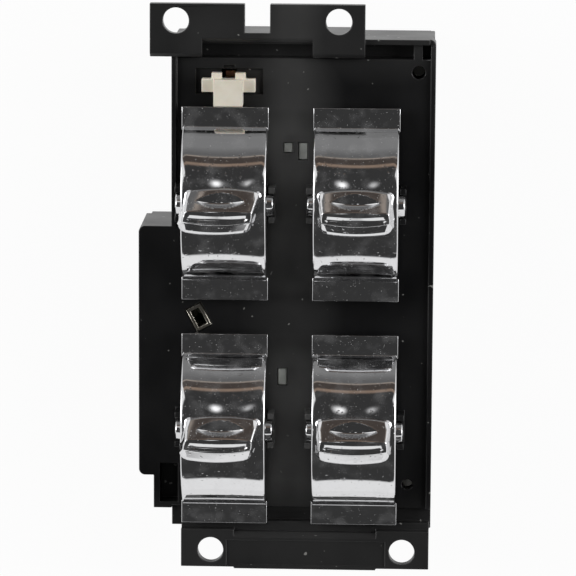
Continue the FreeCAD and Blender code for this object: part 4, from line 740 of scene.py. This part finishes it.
def grid_tree(name, finish):
    """Geometry Nodes: copies of the incoming mesh on a grid, each turned a little."""
    tree, sockets, given = start_tree(name, {
        "Geometry": "Geometry", "Count across": "Int", "Count along": "Int",
        "Span across": "Float", "Span along": "Float", "Middle": "Vector", "Turn": "Float",
        "Seed": "Int"})
    grid = add(tree, "GeometryNodeMeshGrid", {
        "Size X": given["Span across"], "Size Y": given["Span along"],
        "Vertices X": given["Count across"], "Vertices Y": given["Count along"]})
    moved = add(tree, "GeometryNodeSetPosition", {"Geometry": grid.outputs["Mesh"],
                                                  "Offset": given["Middle"]})
    points = add(tree, "GeometryNodeMeshToPoints", {"Mesh": moved.outputs["Geometry"]})
    back_turn = add(tree, "ShaderNodeMath", {0: given["Turn"], 1: -1.0}, operation="MULTIPLY")
    random = add(tree, "FunctionNodeRandomValue", {"Seed": given["Seed"]}, data_type="FLOAT")
    tree.links.new(back_turn.outputs[0], random.inputs[2])
    tree.links.new(given["Turn"], random.inputs[3])
    turned = add(tree, "ShaderNodeCombineXYZ", {"Z": random.outputs[1]})
    copies = add(tree, "GeometryNodeInstanceOnPoints", {
        "Points": points.outputs["Points"], "Instance": given["Geometry"],
        "Rotation": turned.outputs["Vector"]})
    end_tree(tree, copies.outputs["Instances"], finish)
    return tree, sockets


def repeat_form(name, form, node, values):
    """Runs the tree on a form and links the result in place of a construction node."""
    finish = finishes[slot_of[node]]
    tree, sockets = grid_tree(name + "_tree", finish)
    mesh = run_tree(name + "_form", form, tree, sockets, values)
    mesh.name = name
    mesh.set_sharp_from_angle(angle=math.radians(35.0))
    return link_piece(name, mesh, frame["nodes"][node]["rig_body"], slot_of[node], [node])


print("grid tree ready")

# %% [markdown]
# A blade is stamped from strip 0.64 mm thick: a 1.5 mm wide tab whose tip is tapered on all
# four sides to find its way into the plug, and a narrower tail that goes through the board.
# It is drawn as a stack of rectangles, one for each height where the section changes.

# %% Connector blades
STRIP = 0.64 * MM
TAB = 1.5 * MM
BLADE = {
    # half thickness and half width, in millimetres, where the section changes
    "tip": (0.14, 0.40), "tip_edge": (0.22, 0.55), "tab": (0.32, 0.75),
    "tail": (0.32, 0.40), "tail_tip": (0.20, 0.26),
}


def blade_form(low, high, shoulder):
    """One blade round the origin in X and Y, with a tapered tip, in metres."""
    work = bmesh.new()
    stack = [(low, "tip"), (low + 0.25 * MM, "tip_edge"), (low + 0.95 * MM, "tab"),
             (shoulder, "tab"), (shoulder, "tail"), (high - 0.4 * MM, "tail"),
             (high, "tail_tip")]
    rows = []
    for up, section in stack:
        half_thick, half_wide = BLADE[section]
        rows.append([work.verts.new((across * half_thick * MM, along * half_wide * MM, up))
                     for across, along in ((-1, -1), (1, -1), (1, 1), (-1, 1))])
    grid_faces(work, rows, closed=True)
    work.faces.new(rows[0])
    work.faces.new(rows[-1])
    bmesh.ops.recalc_face_normals(work, faces=work.faces)
    upright = [e for e in work.edges if abs(e.verts[0].co.z - e.verts[1].co.z) > 1.5 * MM]
    bmesh.ops.bevel(work, geom=upright, offset=0.05 * MM, segments=1, affect="EDGES")
    return smooth_mesh(work, "blade_form")


low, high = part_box("connector_blades")
top_of_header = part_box("pin_header")[1].z
blades = repeat_form(
    "connector_blades_shown", blade_form(low.z, high.z, top_of_header - 0.8 * MM),
    "connector_blades", {"Count across": 2, "Count along": 7,
                         "Span across": high.x - low.x - STRIP,
                         "Span along": high.y - low.y - TAB,
                         "Middle": ((low.x + high.x) / 2, (low.y + high.y) / 2, 0.0),
                         "Turn": 0.0, "Seed": 3})
print("blade faces:", len(blades.data.polygons))

# %% [markdown]
# The case screws are thread-forming screws with a pan head and a cross recess. The head is
# turned from its side view. The recess is pressed in by moving the head's points down where
# they lie inside a cross, which is simpler and cleaner than cutting it out. The thread is
# hidden in the case, so the shank stays smooth.

# %% Case screws
SIDES_ROUND, RINGS = 48, 14


def cross_depth(x, y, head_radius):
    """How far the cross recess is pressed in at a place on the head."""
    arm = 0.62 * head_radius
    slot = 0.16 * head_radius
    near = min(abs(x), abs(y))
    far = max(abs(x), abs(y))
    inside = limited((slot - near) / (0.08 * head_radius) + 0.5)
    ends = limited((arm - far) / (0.2 * head_radius))
    return 1.0 * MM * inside * ends


def circle(radius):
    """Places on a circle round the origin."""
    turns = [2 * math.pi * k / SIDES_ROUND for k in range(SIDES_ROUND)]
    return [(radius * math.cos(turn), radius * math.sin(turn)) for turn in turns]


def screw_form(low, high, head_radius, head_height, shank_radius):
    """A screw that points up, its head at the bottom, with a cross pressed into the head."""
    work = bmesh.new()
    rows = [[work.verts.new((0, 0, low + cross_depth(0, 0, head_radius)))]]
    for ring in range(1, RINGS + 1):
        radius = head_radius * 0.86 * ring / RINGS
        dome = 0.12 * MM * (radius / head_radius) ** 2
        rows.append([work.verts.new((x, y, low + cross_depth(x, y, head_radius) + dome))
                     for x, y in circle(radius)])
    outline = [(0.95 * head_radius, low + 0.32 * MM), (head_radius, low + 0.7 * MM),
               (head_radius, low + head_height), (shank_radius, low + head_height),
               (shank_radius, high - 0.9 * MM), (shank_radius * 0.45, high)]
    for radius, up in outline:
        rows.append([work.verts.new((x, y, up)) for x, y in circle(radius)])
    for index in range(SIDES_ROUND):
        following = (index + 1) % SIDES_ROUND
        work.faces.new((rows[0][0], rows[1][index], rows[1][following]))
    grid_faces(work, rows[1:], closed=True)
    work.faces.new(rows[-1])
    bmesh.ops.recalc_face_normals(work, faces=work.faces)
    return smooth_mesh(work, "screw_form")


low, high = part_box("case_screws")
head_radius = 2.4 * MM
screws = repeat_form(
    "case_screws_shown", screw_form(low.z, high.z, head_radius, 1.6 * MM, 1.3 * MM),
    "case_screws", {"Count across": 2, "Count along": 2,
                    "Span across": high.x - low.x - 2 * head_radius,
                    "Span along": high.y - low.y - 2 * head_radius,
                    "Middle": ((low.x + high.x) / 2, (low.y + high.y) / 2, 0.0),
                    "Turn": 0.7, "Seed": 11})
print("screw faces:", len(screws.data.polygons))

# %% [markdown]
# ## Return springs
#
# Inside each key stem a coil spring of 0.3 mm wire holds the plunger down. A coil is a
# profile carried along a path, which Geometry Nodes do directly: a Spiral curve, a circle
# for the wire and Curve to Mesh. The spring gets shorter when the plunger moves in.

# %% A tree that winds a spring
def spring_tree(name, finish):
    """Geometry Nodes: a round wire wound into a coil that stands on a given place."""
    tree, sockets, given = start_tree(name, {
        "Coil radius": "Float", "Wire radius": "Float", "Length": "Float", "Turns": "Float",
        "Foot": "Vector"})
    path = add(tree, "GeometryNodeCurveSpiral", {
        "Resolution": 40, "Rotations": given["Turns"], "Start Radius": given["Coil radius"],
        "End Radius": given["Coil radius"], "Height": given["Length"]})
    wire = add(tree, "GeometryNodeCurvePrimitiveCircle", {"Resolution": 12,
                                                          "Radius": given["Wire radius"]})
    wound = add(tree, "GeometryNodeCurveToMesh", {
        "Curve": path.outputs["Curve"], "Profile Curve": wire.outputs["Curve"],
        "Fill Caps": True})
    moved = add(tree, "GeometryNodeSetPosition", {"Geometry": wound.outputs["Mesh"],
                                                  "Offset": given["Foot"]})
    end_tree(tree, moved.outputs["Geometry"], finish)
    return tree, sockets


spring_nodes, spring_sockets = spring_tree("spring_tree", finishes["spring_steel"])
print("spring tree ready")

# %% The four springs
WIRE = 0.3 * MM
COIL_RADIUS = 0.75 * MM
PITCH = 0.95 * MM
for key in KEYS:
    low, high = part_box("return_spring_" + key)
    length = high.z - low.z - WIRE
    middle_x, middle_y = (low.x + high.x) / 2, (low.y + high.y) / 2
    values = {"Coil radius": COIL_RADIUS, "Wire radius": WIRE / 2, "Length": length,
              "Turns": length / PITCH, "Foot": (middle_x, middle_y, low.z + WIRE / 2)}
    form = bpy.data.meshes.new("spring_form")
    mesh = run_tree("spring_form", form, spring_nodes, spring_sockets, values)
    for face in mesh.polygons:
        face.use_smooth = True
    mesh.set_sharp_from_angle(angle=math.radians(50.0))
    name = "return_spring_" + key
    spring = link_piece(name + "_shown", mesh, "key_" + key, "spring_steel", [name])
    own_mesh(spring)
print("faces in one spring:", len(mesh.polygons), "turns:", round(length / PITCH, 2))

# %% [markdown]
# ## Floor and light
#
# The photograph shows the module on plain white. The floor is pale, and seen directly
# it is nearly all its own white, so that the background stays even and only a trace of
# shadow shows. Bright metal sees its own tone alone, which is darker behind the module. The
# room is a plain world: white low down in front and at the sides, a grey wall with a few
# brown lines behind, dark overhead, which is what the plated arches show. Two wide lamps
# at the sides give the light, and two small glows overhead leave the pair of soft spots
# above each finger pull.

# %% Floor
floor_mesh = bpy.data.meshes.new("floor")
REACH = 3
floor_mesh.from_pydata([(-REACH, -REACH, 0), (REACH, -REACH, 0), (REACH, REACH, 0),
                        (-REACH, REACH, 0)], [], [(0, 1, 2, 3)])
floor = bpy.data.objects.new("floor", floor_mesh)
scene.collection.objects.link(floor)
floor.location.z = -0.3 * MM
floor_finish, tree, shader = new_material("floor_finish", (0.86, 0.86, 0.86), 0.7)
rays = add(tree, "ShaderNodeLightPath")
place = add(tree, "ShaderNodeTexCoord")
parts = add(tree, "ShaderNodeSeparateXYZ", {"Vector": place.outputs["Object"]})
OWN_SHARE = 0.95
seen_in_metal = to_range(tree, parts.outputs["Y"], 0.10, 0.13, 0.95, 0.22)
in_metal = rays.outputs["Is Glossy Ray"]
direct = add(tree, "ShaderNodeMath", {0: rays.outputs["Is Camera Ray"],
                                      1: rays.outputs["Is Transmission Ray"]}, operation="MAXIMUM")
direct_share = add(tree, "ShaderNodeMath", {0: direct.outputs[0], 1: OWN_SHARE},
                   operation="MULTIPLY")
share = add(tree, "ShaderNodeMath", {0: in_metal, 1: direct_share.outputs[0]},
            operation="MAXIMUM")
tone = add(tree, "ShaderNodeMix", {0: in_metal, 2: 1.0, 3: seen_in_metal}, data_type="FLOAT")
own_white = add(tree, "ShaderNodeEmission", {"Color": (1, 1, 1, 1),
                                             "Strength": tone.outputs[0]})
blend = add(tree, "ShaderNodeMixShader", {0: share.outputs[0], 1: shader.outputs["BSDF"],
                                          2: own_white.outputs["Emission"]})
tree.links.new(blend.outputs["Shader"], tree.nodes["Material Output"].inputs["Surface"])
floor_mesh.materials.append(floor_finish)
print("floor at", round(floor.location.z / MM, 2), "mm")

# %% Room
world = bpy.data.worlds.new("room")
world.use_nodes = True
scene.world = world
tree = world.node_tree
room = tree.nodes["Background"]
place = add(tree, "ShaderNodeTexCoord")
parts = add(tree, "ShaderNodeSeparateXYZ", {"Vector": place.outputs["Generated"]})
height = parts.outputs["Z"]
flat = add(tree, "ShaderNodeVectorMath", {0: place.outputs["Generated"], 1: (1.0, 1.0, 0.0)},
           operation="MULTIPLY")
level = add(tree, "ShaderNodeVectorMath", {0: flat.outputs[0]}, operation="NORMALIZE")
bearing = add(tree, "ShaderNodeSeparateXYZ", {"Vector": level.outputs[0]}).outputs["Y"]


def multiply(tree, first, second):
    """The product of two values or sockets."""
    return add(tree, "ShaderNodeMath", {0: first, 1: second}, operation="MULTIPLY").outputs[0]


def grey(tree, value):
    """A colour with the same value in each channel."""
    return add(tree, "ShaderNodeCombineColor", {0: value, 1: value, 2: value}).outputs[0]


OVERHEAD = 0.046
WALL = (
    # where a change of colour starts and ends, as the Z of the direction, and the colour
    (0.500, 0.510, (0.36, 0.31, 0.27)), (0.525, 0.535, (0.075, 0.062, 0.055)),
    (0.635, 0.645, (0.30, 0.22, 0.17)), (0.675, 0.70, (OVERHEAD,) * 3),
)
wall = grey(tree, to_range(tree, height, 0.30, 0.46, 0.25, 0.15))
for low, high, tone in WALL:
    wall = mix_color(tree, to_range(tree, height, low, high, 0.0, 1.0), wall, tone)
side_top = to_range(tree, bearing, -0.75, -0.25, 0.34, 0.80)
edge = add(tree, "ShaderNodeMath", {0: height, 1: side_top}, operation="SUBTRACT").outputs[0]
panels = mix_color(tree, to_range(tree, edge, -0.02, 0.02, 0.0, 1.0), (1.0, 1.0, 1.0),
                   (OVERHEAD,) * 3)
around = mix_color(tree, to_range(tree, bearing, 0.87, 0.91, 0.0, 1.0), panels, wall)


def soft_spot(tree, below, across, along, width, length, glow):
    """Adds a soft round glow at a place among the directions of the room."""
    offset = add(tree, "ShaderNodeVectorMath", {0: place.outputs["Generated"],
                                                1: (across, along, 0.0)}, operation="SUBTRACT")
    scaled = add(tree, "ShaderNodeVectorMath", {0: offset.outputs[0],
                                                1: (1 / width, 1 / length, 0.0)},
                 operation="MULTIPLY")
    away = add(tree, "ShaderNodeVectorMath", {0: scaled.outputs[0]}, operation="LENGTH")
    fade = to_range(tree, away.outputs["Value"], 0.25, 1.0, 1.0, 0.0)
    fade = multiply(tree, fade, fade)
    overhead = to_range(tree, height, 0.6, 0.7, 0.0, 1.0)
    return mix_color(tree, multiply(tree, fade, overhead), below, (glow, glow, glow))


lit = soft_spot(tree, around, -0.088, 0.41, 0.046, 0.12, 1.5)
lit = soft_spot(tree, lit, 0.068, 0.41, 0.036, 0.10, 0.7)
tree.links.new(lit, room.inputs["Color"])
room.inputs["Strength"].default_value = 1.0
print("room colours set")

# %% Lamps
def area_lamp(name, direction, distance, size, radiance):
    """A square lamp in a direction from the object, facing it, of a given brightness."""
    lamp = bpy.data.objects.new(name, bpy.data.lights.new(name, "AREA"))
    scene.collection.objects.link(lamp)
    toward = Vector(direction).normalized()
    lamp.location = toward * distance
    lamp.rotation_mode = "QUATERNION"
    lamp.rotation_quaternion = toward.to_track_quat("Z", "Y")
    lamp.data.shape = "SQUARE"
    lamp.data.size = size
    lamp.data.energy = radiance * math.pi * size * size


for name, side in (("lamp_left", -1), ("lamp_right", 1)):
    area_lamp(name, (side * 0.78, 0.22, 0.50), distance=2.4, size=1.1, radiance=5.4)
